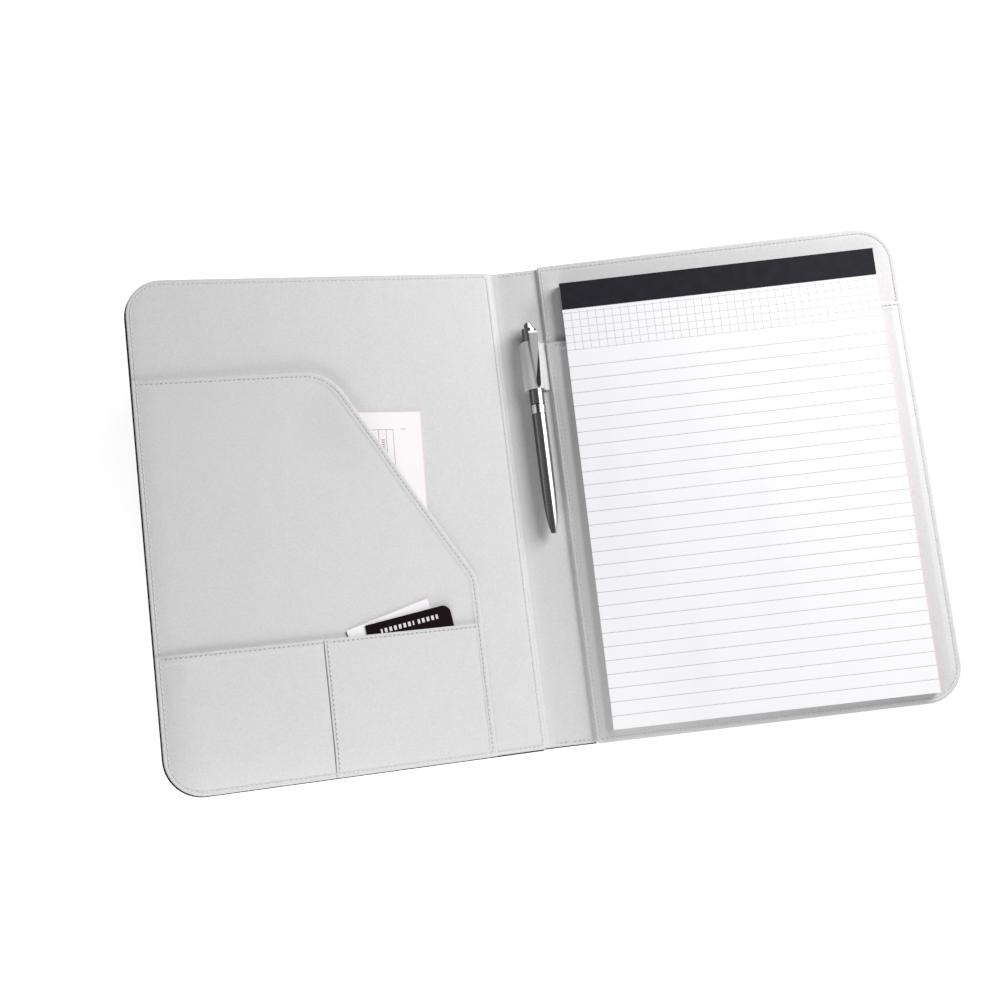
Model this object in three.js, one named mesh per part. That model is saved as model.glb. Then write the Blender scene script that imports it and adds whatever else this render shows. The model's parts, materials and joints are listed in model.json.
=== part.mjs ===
// An A4 conference folder lying open: a flat back cover with a memo pad in its slot, a channel spine
// with a pen in a loop, and a front cover with pockets that rises towards its outer edge.
// Millimetres. The back cover's spine-side rim is at x = 0, y runs up the page and z = 0 is the table.
import * as THREE from 'three';

const { Vector2, Vector3, MathUtils } = THREE;

// Covers
const COVER_WIDTH = 239;
const COVER_HEIGHT = 318;
const COVER_CORNER = 24;
const SPINE_SIDE_CORNER = 2;
const SKIN = 0.9;
const PADDING = 1.2;
const BOARD = 1.6;
const LINING = 0.8;
const LAYER_GAP = 0.3;

// Perimeter seam: skin and lining are stitched together here, and part towards the middle
const SEAM_INSET = 4.2;
const SEAM_LEVEL = 2.55;
const PINCH_WIDTH = 8;
const RIM_INSET = 1.5;
const RIM_CROWN = 0.3;
const SKIN_BULGE = 0.9;
const BOARD_MARGIN = 1;

// Spine and creases
const SPINE_WIDTH = 33.3;
const CREASE_HALF_WIDTH = 2.4;
const CREASE_LEVEL = 2;
const CREASE_THICKNESS = 1.6;
const SPINE_BOARD = 1.2;
const SPINE_SAG = 0.3;
const SPINE_SHORTER = 1;
const FRONT_TILT = 18.3;

// Pockets
const PANEL = 0.7;
const HEM = 0.35;
const HEM_WIDTH = 5;
const POCKET_TOP = 253.7;
const POCKET_SIDE = 33.8;
const POCKET_SLANT_LOW = 101.4;
const POCKET_SLANT_HIGH = 113.7;
const POCKET_TOP_RADIUS = 25;
const POCKET_SIDE_RADIUS = 40;
const POCKET_ROOM = 0.6;
const TICKET_POCKET_HEIGHT = 85;
const TICKET_POCKET_DIVIDER = 137.3;
const TICKET_ROOM = 1.1;

// What the pockets hold
const SHEET = 0.25;
const DOCUMENT_WIDTH = 148;
const DOCUMENT_HEIGHT = 210;
const DOCUMENT_TURN = -2.3;
const DOCUMENT_CORNER = [58.6, 225.4];
const TICKET_WIDTH = 56;
const TICKET_HEIGHT = 80;
const PLAIN_TICKET_CORNER = [122.4, 88.8];
const PLAIN_TICKET_TURN = 16;
const DARK_TICKET_CORNER = [110.5, 90.8];
const DARK_TICKET_TURN = 8.7;
const DARK_TICKET_RADIUS = 5.5;

// Memo pad
const PAD_WIDTH = 210;
const PAD_HEIGHT = 294;
const PAD_SIDE = 11.4;
const PAD_FOOT = 7.8;
const PAD_TURN = -0.34;
const PAD_SHEETS = 3.6;
const PAD_BACKING = 0.8;
const PAD_BACKING_SHORTER = 3.5;
const PAD_TAPE = 0.6;
const PAD_TAPE_WIDTH = 17;
const PAD_ABOVE_SLOT = 36.8;
const SLOT_MOUTH = PAD_FOOT + PAD_HEIGHT - PAD_ABOVE_SLOT;
const SLOT_ROOM = 1.1;
const SLOT_STEP_START = 3;
const SLOT_STEP_LENGTH = 8;

// Pen and its loop
const PEN_SIDE = 10.7;
const PEN_TIP_PLACE = 137.8;
const PEN_RADIUS = 4.75;
const PEN_BARREL_TOP = 137.1;
const PEN_LENGTH = 141.8;
const PEN_WALL = 0.75;
// Distance from the tip and radius of the lower barrel's curve
const PEN_TAPER = [[5.7, 2.75], [14.8, 3.5], [31, 4.3], [51, 4.55]];
const PEN_RING_LOW = 79.4;
const PEN_RING_HIGH = 85.2;
const PEN_RING_PROUD = 0.2;
const PEN_NOZZLE_RADIUS = 1.6;
const PEN_NOZZLE_BORE = 0.95;
const PEN_NOZZLE_LENGTH = 8.6;
const PEN_FRONT_BORE = 2.4;
const PEN_FRONT_BORE_LENGTH = 26;
const PEN_BORE_CONE = 8;
const PEN_SPIGOT_LENGTH = 12;
const BUTTON_RADIUS = 2.9;
const BUTTON_TRAVEL = 4;
const BUTTON_FLANGE = 2;
const REFILL_RADIUS = 1.5;
const REFILL_LENGTH = 109.4;
const REFILL_TIP_PLACE = 2.6;
const SPRING_WIRE = 0.4;
const SPRING_RADIUS = 1.75;
const SPRING_LENGTH = 13;
const SPRING_TURNS = 8;
const CLIP_LENGTH = 41;
const CLIP_WIDTH = 5.8;
const CLIP_TIP_WIDTH = 1.2;
const CLIP_THICKNESS = 1;
const CLIP_FOOT = 6;
const CLIP_TURN = 11;
const STRAP = 0.9;
const LOOP_FOOT = 233.4;
const LOOP_WIDTH = 32.4;
const LOOP_FOLD = 18.2;
const LOOP_SEWN_EDGE = 1;
const RUNNING_GAP = 0.3;

// Corner and revolve smoothness
const CORNER_STEPS = 6;
const REVOLVE_STEPS = 20;
const SMALL_REVOLVE_STEPS = 12;
const TAPER_STEPS = 10;
const DOME_STEPS = 5;
const LOOP_STEPS = 8;
const WIRE_SIDES = 5;
const STEPS_PER_TURN = 8;
const LEAST_RADIUS = 0.2;

// Levels of the layers above the table, for a cover that lies flat
const PADDING_LEVEL = SKIN + LAYER_GAP;
const BOARD_LEVEL = PADDING_LEVEL + PADDING + LAYER_GAP;
const LINING_LEVEL = BOARD_LEVEL + BOARD + LAYER_GAP;
const LINING_TOP = LINING_LEVEL + LINING;
const SEAM_TOP = SEAM_LEVEL + LAYER_GAP + LINING;

const material = (color, roughness, metalness = 0) =>
  new THREE.MeshStandardMaterial({ color, roughness, metalness });
const skinLeather = material(0x2b2b2d, 0.55);
const liningCloth = material(0xd2d2d2, 0.85);
const pocketCloth = material(0xd9d9d9, 0.85);
const greyboard = material(0x8d8a84, 0.9);
const foam = material(0xe6e2d2, 0.95);
const whitePaper = material(0xfbfafc, 0.7);
const documentPaper = material(0xf6eff0, 0.7);
const darkCard = material(0x16090f, 0.45);
const blackTape = material(0x26262c, 0.6);
const steel = material(0xa9abae, 0.28, 1);
const chrome = material(0xd8dadd, 0.1, 1);
const whitePlastic = material(0xe8e8e6, 0.5);

// A closed solid through rings of points, with a fan over the first ring and over the last
function loft(rings) {
  const count = rings[0].length;
  const last = (rings.length - 1) * count;
  const faces = [];
  for (let start = 0; start < last; start += count) {
    for (let i = 0; i < count; i++) {
      const here = start + i;
      const next = start + (i + 1) % count;
      faces.push([here, next, next + count], [here, next + count, here + count]);
    }
  }
  for (let i = 1; i < count - 1; i++) {
    faces.push([0, i + 1, i], [last, last + i, last + i + 1]);
  }
  const points = rings.flat();
  const volume = faces.reduce((sum, [a, b, c]) =>
    sum + points[a].dot(new Vector3().crossVectors(points[b], points[c])), 0);
  const outward = volume > 0 ? faces : faces.map(([a, b, c]) => [a, c, b]);
  const geometry = new THREE.BufferGeometry().setFromPoints(points);
  geometry.setIndex(outward.flat());
  geometry.computeVertexNormals();
  return geometry;
}

// A convex outline, anticlockwise, drawn in by an inset, through corners given as [x, y, radius]
function outline(corners, inset = 0) {
  const count = corners.length;
  const places = corners.map(([x, y]) => new Vector2(x, y));
  const sides = places.map((place, i) => places[(i + 1) % count].clone().sub(place).normalize());
  return corners.flatMap(([, , radius = 0], i) => {
    const before = sides[(i + count - 1) % count];
    const turn = Math.atan2(before.cross(sides[i]), before.dot(sides[i]));
    const inward = new Vector2(-before.y, before.x);
    const round = radius > 0 ? Math.max(radius - inset, LEAST_RADIUS) : 0;
    const back = (round + inset) * Math.tan(turn / 2);
    const centre = places[i].clone().addScaledVector(inward, inset + round).addScaledVector(before, -back);
    const steps = radius > SPINE_SIDE_CORNER ? CORNER_STEPS : Math.sign(radius);
    return Array.from({ length: steps + 1 }, (_, step) => {
      const spoke = inward.clone().multiplyScalar(-round);
      return centre.clone().add(spoke.rotateAround(new Vector2(), steps ? turn * step / steps : 0));
    });
  });
}

// A layer of cloth or board: [inset, height] rings of one outline, from the middle of its underside out
// to its edge and back over its top. A height may depend on the point and its inset.
function layer(corners, profile) {
  const height = (value, place, inset) => (typeof value === 'function' ? value(place, inset) : value);
  return loft(profile.map(([inset, value]) => outline(corners, inset).map((place) =>
    new Vector3(place.x, place.y, height(value, place, inset)))));
}

const rectangle = (left, foot, right, head, [a = 0, b = a, c = a, d = a] = []) =>
  [[left, foot, a], [right, foot, b], [right, head, c], [left, head, d]];

const plate = (corners, low, high) => layer(corners, [[0, low], [0, high]]);

const solid = (name, geometry, finish) => {
  const mesh = new THREE.Mesh(geometry, finish);
  mesh.name = name;
  return mesh;
};

const group = (name, ...children) => {
  const made = new THREE.Group();
  made.name = name;
  return made.add(...children);
};

// Corners of a page that reaches from the spine to its outer edge; side is 1 for the back cover and -1
// for the front cover
function pageCorners(side, inset = 0) {
  const outer = COVER_CORNER - inset;
  const [near, far] = [side * Math.max(inset, 0), side * (COVER_WIDTH - inset)];
  const radii = side > 0
    ? [SPINE_SIDE_CORNER, outer, outer, SPINE_SIDE_CORNER]
    : [outer, SPINE_SIDE_CORNER, SPINE_SIDE_CORNER, outer];
  return rectangle(Math.min(near, far), inset, Math.max(near, far), COVER_HEIGHT - inset, radii);
}

// How far a point of either page lies inside its outline
function inside(place) {
  const side = Math.min(Math.abs(place.x), COVER_WIDTH - Math.abs(place.x));
  const end = Math.min(place.y, COVER_HEIGHT - place.y);
  const outerHalf = Math.abs(place.x) > COVER_WIDTH / 2;
  if (outerHalf && side < COVER_CORNER && end < COVER_CORNER) {
    return COVER_CORNER - Math.hypot(COVER_CORNER - side, COVER_CORNER - end);
  }
  return Math.min(side, end);
}

const share = (value, from, to) => MathUtils.clamp((value - from) / (to - from), 0, 1);
const between = (low, high, part) => low + (high - low) * part;

// Height of the lining's top: a rim, the stitched seam and the padded middle
function liningTop(place) {
  const depth = inside(place);
  if (depth < SEAM_INSET) {
    const crown = depth < RIM_INSET ? share(depth, 0, RIM_INSET) : 1 - share(depth, RIM_INSET, SEAM_INSET);
    return SEAM_TOP + RIM_CROWN * crown;
  }
  return between(SEAM_TOP, LINING_TOP, share(depth, SEAM_INSET, PINCH_WIDTH));
}

const parted = (place) => share(inside(place), SEAM_INSET, PINCH_WIDTH);
const RINGS = [0, RIM_INSET, SEAM_INSET, HEM_WIDTH, PINCH_WIDTH];

// A pocket panel over the page: `under` gives the height of its underside, and its open sides are hemmed
function pocketPanel(corners, under, sewn) {
  const hem = (place, inset) => (inset < HEM_WIDTH && sewn(place) > inset + HEM ? HEM : 0);
  const over = (place, inset) => under(place) + PANEL + hem(place, inset);
  return layer(corners, [
    ...[...RINGS].reverse().map((inset) => [inset, under]),
    ...RINGS.map((inset) => [inset, over]),
  ]);
}

// The layers that both covers have
function coverLayers(name, side) {
  const grown = pageCorners(side, -SKIN_BULGE);
  const seamUnder = SEAM_LEVEL - SKIN;
  const skin = layer(grown, [
    [PINCH_WIDTH + SKIN_BULGE, 0],
    [SEAM_INSET + SKIN_BULGE, seamUnder],
    [SKIN_BULGE, seamUnder],
    [0, between(seamUnder, SEAM_LEVEL, 0.3)],
    [0, between(seamUnder, SEAM_LEVEL, 0.7)],
    [SKIN_BULGE, SEAM_LEVEL],
    [SEAM_INSET + SKIN_BULGE, SEAM_LEVEL],
    [PINCH_WIDTH + SKIN_BULGE, SKIN],
  ]);
  const filling = pageCorners(side, PINCH_WIDTH + SKIN_BULGE + BOARD_MARGIN);
  const lining = layer(pageCorners(side), [
    [PINCH_WIDTH, LINING_LEVEL],
    [SEAM_INSET, SEAM_LEVEL + LAYER_GAP],
    [0, SEAM_LEVEL + LAYER_GAP],
    [0, SEAM_TOP],
    [RIM_INSET, SEAM_TOP + RIM_CROWN],
    [SEAM_INSET, SEAM_TOP],
    [PINCH_WIDTH, LINING_TOP],
  ]);
  return [
    solid(`${name}_skin`, skin, skinLeather),
    solid(`${name}_padding`, plate(filling, PADDING_LEVEL, PADDING_LEVEL + PADDING), foam),
    solid(`${name}_board`, plate(filling, BOARD_LEVEL, BOARD_LEVEL + BOARD), greyboard),
    solid(`${name}_lining`, lining, liningCloth),
  ];
}

// A soft strip between two covers, as long as the spine, that turns up by `tilt` degrees on its left
function crease(name, tilt) {
  const reach = CREASE_HALF_WIDTH - LAYER_GAP;
  const station = (distance, angle) => {
    const along = new Vector2(distance, 0).rotateAround(new Vector2(), angle);
    const up = new Vector2(0, CREASE_THICKNESS / 2).rotateAround(new Vector2(), angle);
    const [low, high] = [along.clone().sub(up), along.clone().add(up)];
    const [foot, head] = [SPINE_SHORTER, COVER_HEIGHT - SPINE_SHORTER];
    return [
      new Vector3(low.x, foot, low.y), new Vector3(low.x, head, low.y),
      new Vector3(high.x, head, high.y), new Vector3(high.x, foot, high.y),
    ];
  };
  const turned = -MathUtils.degToRad(tilt);
  return solid(name, loft([station(reach, 0), station(0, turned / 2), station(-reach, turned)]), skinLeather);
}

// Back cover with the panel that holds the pad's cardboard
function makeBackCover() {
  const under = (place) => liningTop(place) + LAYER_GAP + SLOT_ROOM * parted(place);
  const mouth = PINCH_WIDTH + BOARD_MARGIN;
  const corners = [
    [0, 0, SPINE_SIDE_CORNER], [COVER_WIDTH, 0, COVER_CORNER], [COVER_WIDTH, SLOT_MOUTH],
    [COVER_WIDTH - mouth, SLOT_MOUTH], [mouth, SLOT_MOUTH], [0, SLOT_MOUTH],
  ];
  const rightCrease = crease('right_crease', 0);
  rightCrease.position.set(-CREASE_HALF_WIDTH, 0, CREASE_LEVEL);
  return group('back_cover',
    ...coverLayers('back', 1),
    solid('pad_slot_panel', pocketPanel(corners, under, inside), pocketCloth),
    rightCrease, makePad());
}

// A4 pad: its cardboard goes down into the slot while its sheets lie on the slot's panel
function makePad() {
  const sheetsLevel = LINING_TOP + LAYER_GAP + SLOT_ROOM + PANEL + HEM + LAYER_GAP;
  const sheetsTop = sheetsLevel + PAD_SHEETS;
  const slotLevel = LINING_TOP + LAYER_GAP;
  const headLevel = sheetsLevel - LAYER_GAP - PAD_BACKING;
  const step = SLOT_MOUTH - PAD_FOOT + SLOT_STEP_START;
  const tapeFoot = PAD_HEIGHT - PAD_TAPE_WIDTH;
  const across = (points) => loft([0, PAD_WIDTH].map((x) => points.map(([y, z]) => new Vector3(x, y, z))));

  const backing = loft([
    [PAD_BACKING_SHORTER, slotLevel], [step, slotLevel], [step + SLOT_STEP_LENGTH, headLevel],
    [PAD_HEIGHT, headLevel],
  ].map(([y, level]) => [
    new Vector3(0, y, level), new Vector3(PAD_WIDTH, y, level),
    new Vector3(PAD_WIDTH, y, level + PAD_BACKING), new Vector3(0, y, level + PAD_BACKING),
  ]));

  const tapeShape = new THREE.Shape([
    [tapeFoot, sheetsTop + LAYER_GAP], [PAD_HEIGHT + LAYER_GAP, sheetsTop + LAYER_GAP],
    [PAD_HEIGHT + LAYER_GAP, headLevel - LAYER_GAP], [tapeFoot, headLevel - LAYER_GAP],
    [tapeFoot, headLevel - LAYER_GAP - PAD_TAPE],
    [PAD_HEIGHT + LAYER_GAP + PAD_TAPE, headLevel - LAYER_GAP - PAD_TAPE],
    [PAD_HEIGHT + LAYER_GAP + PAD_TAPE, sheetsTop + LAYER_GAP + PAD_TAPE],
    [tapeFoot, sheetsTop + LAYER_GAP + PAD_TAPE],
  ].map(([y, z]) => new Vector2(y, z)));
  const tape = new THREE.ExtrudeGeometry(tapeShape, { depth: PAD_WIDTH, bevelEnabled: false });
  tape.rotateX(Math.PI / 2).rotateZ(Math.PI / 2);

  const turnPlace = new Vector3(0, tapeFoot - LAYER_GAP, sheetsTop + LAYER_GAP + PAD_TAPE);
  const topSheet = solid('pad_top_sheet', across([
    [-turnPlace.y, -PAD_TAPE], [0, -PAD_TAPE], [0, SHEET - PAD_TAPE], [-turnPlace.y, SHEET - PAD_TAPE],
  ]), whitePaper);
  const turn = group('pad_page_turn', topSheet);
  turn.position.copy(turnPlace);

  const pad = group('pad',
    solid('pad_backing_board', backing, greyboard),
    solid('pad_sheets', across([[0, sheetsLevel], [PAD_HEIGHT, sheetsLevel], [PAD_HEIGHT, sheetsTop],
      [0, sheetsTop]]), whitePaper),
    solid('pad_binding_strip', tape, blackTape), turn);
  pad.position.set(PAD_SIDE, PAD_FOOT, 0);
  pad.rotation.z = MathUtils.degToRad(PAD_TURN);
  return pad;
}

// Spine: a stiffened channel whose lining sags a little between the two creases
function makeSpine() {
  const [left, right] = [2 * CREASE_HALF_WIDTH - SPINE_WIDTH, -2 * CREASE_HALF_WIDTH];
  const [foot, head] = [SPINE_SHORTER, COVER_HEIGHT - SPINE_SHORTER];
  const corners = rectangle(left, foot, right, head);
  const boardTop = PADDING_LEVEL + SPINE_BOARD;
  const liningLevel = boardTop + LAYER_GAP;
  const edge = CREASE_LEVEL - CREASE_THICKNESS / 2;
  const skin = layer(corners, [
    [SEAM_INSET, 0], [0, edge - LAYER_GAP], [0, edge + LAYER_GAP], [SEAM_INSET, SKIN],
  ]);
  const board = layer(corners, [[SEAM_INSET, PADDING_LEVEL], [SEAM_INSET, boardTop]]);
  const lining = layer(corners, [
    [SEAM_INSET, liningLevel], [0, liningLevel], [0, liningLevel + LINING],
    [RIM_INSET, liningLevel + LINING + SPINE_SAG], [PINCH_WIDTH, liningLevel + LINING],
  ]);
  const leftCrease = crease('left_crease', FRONT_TILT);
  leftCrease.position.set(CREASE_HALF_WIDTH - SPINE_WIDTH, 0, CREASE_LEVEL);
  const liningHigh = liningLevel + LINING + SPINE_SAG;
  return group('spine',
    solid('spine_skin', skin, skinLeather),
    solid('spine_board', board, greyboard),
    solid('spine_lining', lining, liningCloth),
    leftCrease, ...makePenLoop(liningHigh + LAYER_GAP), makePen(liningHigh + LAYER_GAP));
}

const penHeight = (strapLevel) => strapLevel + STRAP + RUNNING_GAP + PEN_RADIUS;

// Strap loop: flat under the pen, close over its right side and open to its fold on the left
function makePenLoop(strapLevel) {
  const bend = (fold, level, radius, side) => {
    const [x, z] = [-PEN_SIDE, penHeight(strapLevel)];
    const path = new THREE.Shape();
    path.moveTo(fold, level);
    path.lineTo(side, level);
    path.lineTo(side, z);
    path.absarc(x, z, radius, 0, Math.PI / 2);
    path.bezierCurveTo(x - radius, z + radius, fold + STRAP, z, fold, level + 2 * STRAP);
    path.closePath();
    return path;
  };
  const hollow = PEN_RADIUS + RUNNING_GAP;
  const loop = bend(-LOOP_FOLD, strapLevel, hollow + STRAP, hollow + STRAP - PEN_SIDE);
  loop.holes.push(bend(STRAP - LOOP_FOLD, strapLevel + STRAP, hollow, hollow - PEN_SIDE));
  const geometry = new THREE.ExtrudeGeometry(loop, {
    depth: LOOP_WIDTH, bevelEnabled: false, curveSegments: LOOP_STEPS,
  });
  geometry.rotateX(Math.PI / 2).translate(0, LOOP_FOOT + LOOP_WIDTH, 0);
  const tabStart = hollow + STRAP - PEN_SIDE + LAYER_GAP;
  const creaseTop = CREASE_LEVEL + CREASE_THICKNESS / 2;
  const tab = loft([
    [tabStart, strapLevel, 2 * STRAP], [-LOOP_SEWN_EDGE, creaseTop + LAYER_GAP, STRAP],
  ].map(([x, level, thickness]) => [
    new Vector3(x, LOOP_FOOT, level), new Vector3(x, LOOP_FOOT + LOOP_WIDTH, level),
    new Vector3(x, LOOP_FOOT + LOOP_WIDTH, level + thickness), new Vector3(x, LOOP_FOOT, level + thickness),
  ]));
  return [solid('pen_loop', geometry, liningCloth), solid('pen_loop_tab', tab, liningCloth)];
}

// A turned piece along y from [radius, place] points that run round its section
const turned = (points, steps = REVOLVE_STEPS) =>
  new THREE.LatheGeometry(points.map(([radius, place]) => new Vector2(radius, place)), steps);

// Push-button ball pen, tip at the origin of its group, lying along y
function makePen(strapLevel) {
  const bore = PEN_RADIUS - PEN_WALL;
  const spigot = bore - RUNNING_GAP;
  const spigotBore = spigot - PEN_WALL;
  const taper = new THREE.SplineCurve([
    new Vector2(PEN_NOZZLE_RADIUS, 0), ...PEN_TAPER.map(([place, radius]) => new Vector2(radius, place)),
    new Vector2(PEN_RADIUS, PEN_RING_LOW - RUNNING_GAP),
  ]).getPoints(TAPER_STEPS).map(({ x, y }) => [x, y]);
  const lowerBarrel = turned([
    [PEN_NOZZLE_BORE, 0], ...taper, [spigot, PEN_RING_LOW - RUNNING_GAP],
    [spigot, PEN_RING_LOW + PEN_SPIGOT_LENGTH], [spigotBore, PEN_RING_LOW + PEN_SPIGOT_LENGTH],
    [spigotBore, PEN_FRONT_BORE_LENGTH + PEN_BORE_CONE], [PEN_FRONT_BORE, PEN_FRONT_BORE_LENGTH],
    [PEN_FRONT_BORE, PEN_NOZZLE_LENGTH],
    [PEN_NOZZLE_BORE, PEN_NOZZLE_LENGTH], [PEN_NOZZLE_BORE, 0],
  ]);
  const ring = turned([
    [bore, PEN_RING_LOW], [PEN_RADIUS, PEN_RING_LOW],
    [PEN_RADIUS + PEN_RING_PROUD, PEN_RING_LOW + PEN_RING_PROUD],
    [PEN_RADIUS + PEN_RING_PROUD, PEN_RING_HIGH - PEN_RING_PROUD],
    [PEN_RADIUS, PEN_RING_HIGH], [bore, PEN_RING_HIGH], [bore, PEN_RING_LOW],
  ]);
  const collarBore = BUTTON_RADIUS + RUNNING_GAP;
  const collarFoot = PEN_BARREL_TOP - 2 * PEN_WALL;
  const upperFoot = PEN_RING_HIGH + RUNNING_GAP;
  const upperBarrel = turned([
    [bore, upperFoot], [PEN_RADIUS, upperFoot], [PEN_RADIUS, PEN_BARREL_TOP - PEN_RING_PROUD],
    [PEN_RADIUS - PEN_RING_PROUD, PEN_BARREL_TOP], [collarBore, PEN_BARREL_TOP],
    [collarBore, collarFoot], [bore, collarFoot], [bore, upperFoot],
  ]);
  const flangeTop = collarFoot - RUNNING_GAP;
  const domeStart = PEN_LENGTH - BUTTON_RADIUS;
  const dome = Array.from({ length: DOME_STEPS }, (_, i) => {
    const angle = i / DOME_STEPS * Math.PI / 2;
    return [BUTTON_RADIUS * Math.cos(angle), domeStart + BUTTON_RADIUS * Math.sin(angle)];
  });
  const buttonFoot = flangeTop - BUTTON_FLANGE;
  const button = turned([
    [0, buttonFoot], [bore - RUNNING_GAP, buttonFoot], [bore - RUNNING_GAP, flangeTop],
    [BUTTON_RADIUS, flangeTop], ...dome, [0, PEN_LENGTH],
  ]);
  const refillTop = REFILL_TIP_PLACE + REFILL_LENGTH;
  const springFoot = PEN_NOZZLE_LENGTH + RUNNING_GAP;
  const collarPlace = springFoot + SPRING_LENGTH + RUNNING_GAP;
  const thrustTube = turned([
    [0, refillTop + RUNNING_GAP], [spigotBore - RUNNING_GAP, refillTop + RUNNING_GAP],
    [spigotBore - RUNNING_GAP, buttonFoot - RUNNING_GAP], [0, buttonFoot - RUNNING_GAP],
  ], SMALL_REVOLVE_STEPS);
  const needle = PEN_NOZZLE_BORE / 2;
  const refill = turned([
    [0, REFILL_TIP_PLACE], [needle, REFILL_TIP_PLACE + 1],
    [needle, PEN_NOZZLE_LENGTH + BUTTON_TRAVEL + RUNNING_GAP],
    [REFILL_RADIUS - SPRING_WIRE, PEN_NOZZLE_LENGTH + BUTTON_TRAVEL + 2 * RUNNING_GAP],
    [REFILL_RADIUS - SPRING_WIRE, collarPlace], [SPRING_RADIUS + SPRING_WIRE, collarPlace],
    [SPRING_RADIUS + SPRING_WIRE, collarPlace + PEN_WALL], [REFILL_RADIUS, collarPlace + PEN_WALL],
    [REFILL_RADIUS, refillTop], [0, refillTop],
  ], SMALL_REVOLVE_STEPS);

  const pen = group('pen',
    solid('pen_upper_barrel', upperBarrel, steel),
    solid('pen_ring', ring, chrome),
    solid('pen_lower_barrel', lowerBarrel, steel),
    makeClip(),
    solid('pen_button', button, chrome),
    solid('pen_thrust_tube', thrustTube, whitePlastic),
    solid('pen_refill', refill, whitePlastic),
    makeSpring(springFoot));
  pen.position.set(-PEN_SIDE, PEN_TIP_PLACE, penHeight(strapLevel));
  return pen;
}

// Clip: a foot on the barrel and a blade that tapers to its tip over the strap
function makeClip() {
  const seat = PEN_RADIUS + RUNNING_GAP;
  const blade = seat + STRAP + RUNNING_GAP;
  const top = blade + CLIP_THICKNESS;
  const tip = PEN_BARREL_TOP - CLIP_LENGTH;
  const stations = [
    [PEN_BARREL_TOP, seat, top - CLIP_THICKNESS / 2, CLIP_WIDTH],
    [PEN_BARREL_TOP - CLIP_THICKNESS, seat, top, CLIP_WIDTH],
    [PEN_BARREL_TOP - CLIP_FOOT, seat, top, CLIP_WIDTH],
    [PEN_BARREL_TOP - CLIP_FOOT - CLIP_THICKNESS, blade, top, CLIP_WIDTH],
    [between(PEN_BARREL_TOP, tip, 0.6), blade, top, between(CLIP_WIDTH, CLIP_TIP_WIDTH, 0.35)],
    [tip + CLIP_TIP_WIDTH, blade, top, 2 * CLIP_TIP_WIDTH],
    [tip, blade, top - CLIP_THICKNESS / 2, CLIP_TIP_WIDTH],
  ];
  const clip = solid('pen_clip', loft(stations.map(([y, low, high, width]) => [
    new Vector3(-width / 2, y, low), new Vector3(width / 2, y, low),
    new Vector3(width / 2, y, high), new Vector3(-width / 2, y, high),
  ])), chrome);
  clip.rotation.y = MathUtils.degToRad(CLIP_TURN);
  return clip;
}

// Return spring round the refill's front: one open helix
function makeSpring(foot) {
  class Helix extends THREE.Curve {
    getPoint(t, target = new Vector3()) {
      const angle = 2 * Math.PI * SPRING_TURNS * t;
      const rise = SPRING_WIRE / 2 + (SPRING_LENGTH - SPRING_WIRE) * t;
      return target.set(SPRING_RADIUS * Math.cos(angle), foot + rise, SPRING_RADIUS * Math.sin(angle));
    }
  }
  const wire = new THREE.Shape(Array.from({ length: WIRE_SIDES }, (_, i) =>
    new Vector2(SPRING_WIRE / 2, 0).rotateAround(new Vector2(), 2 * Math.PI * i / WIRE_SIDES)));
  return solid('pen_spring', new THREE.ExtrudeGeometry(wire, {
    steps: STEPS_PER_TURN * SPRING_TURNS, extrudePath: new Helix(), bevelEnabled: false,
  }), steel);
}

// Front cover, its pockets and what they hold. The page's rim lies beside the crease's axis.
function makeFrontCover() {
  const mouth = PINCH_WIDTH + BOARD_MARGIN;
  const pocketUnder = (place) => liningTop(place) + LAYER_GAP + POCKET_ROOM * parted(place);
  const pocketCorners = [
    [-COVER_WIDTH, 0, COVER_CORNER], [-POCKET_SIDE, 0], [-POCKET_SIDE, mouth],
    [-POCKET_SIDE, POCKET_SLANT_LOW, POCKET_SIDE_RADIUS], [-POCKET_SLANT_HIGH, POCKET_TOP, POCKET_TOP_RADIUS],
    [mouth - COVER_WIDTH, POCKET_TOP], [-COVER_WIDTH, POCKET_TOP],
  ];
  const page = group('front_page',
    ...coverLayers('front', -1),
    solid('document_pocket', pocketPanel(pocketCorners, pocketUnder, inside), pocketCloth),
    ticketPocket('outer_ticket_pocket', -COVER_WIDTH, -TICKET_POCKET_DIVIDER - LAYER_GAP, COVER_CORNER),
    ticketPocket('inner_ticket_pocket', -TICKET_POCKET_DIVIDER + LAYER_GAP,
      -POCKET_SIDE - HEM_WIDTH - LAYER_GAP, 0),
    ...makePocketContents());
  page.position.set(-CREASE_HALF_WIDTH, 0, -CREASE_LEVEL);
  const frontCover = group('front_cover', page);
  frontCover.position.set(CREASE_HALF_WIDTH - SPINE_WIDTH, 0, CREASE_LEVEL);
  frontCover.rotation.y = MathUtils.degToRad(FRONT_TILT);
  return frontCover;
}

// A ticket pocket on the document pocket's panel, sewn on three sides
function ticketPocket(name, left, right, corner) {
  const sideSeam = (place) => Math.min(place.x - left, right - place.x);
  const room = (place) => TICKET_ROOM * Math.min(parted(place), share(sideSeam(place), 0, SEAM_INSET));
  const under = (place) =>
    liningTop(place) + 2 * LAYER_GAP + PANEL + POCKET_ROOM * parted(place) + room(place);
  const mouth = PINCH_WIDTH + BOARD_MARGIN;
  const sewn = (place) => Math.min(inside(place), sideSeam(place));
  const leftSide = corner > 0 ? [] : [[left, mouth]];
  const corners = [
    [left, 0, corner], [right, 0], [right, mouth], [right, TICKET_POCKET_HEIGHT],
    [right - mouth, TICKET_POCKET_HEIGHT], [left + mouth, TICKET_POCKET_HEIGHT],
    [left, TICKET_POCKET_HEIGHT], ...leftSide,
  ];
  return solid(name, pocketPanel(corners, under, sewn), pocketCloth);
}

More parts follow.
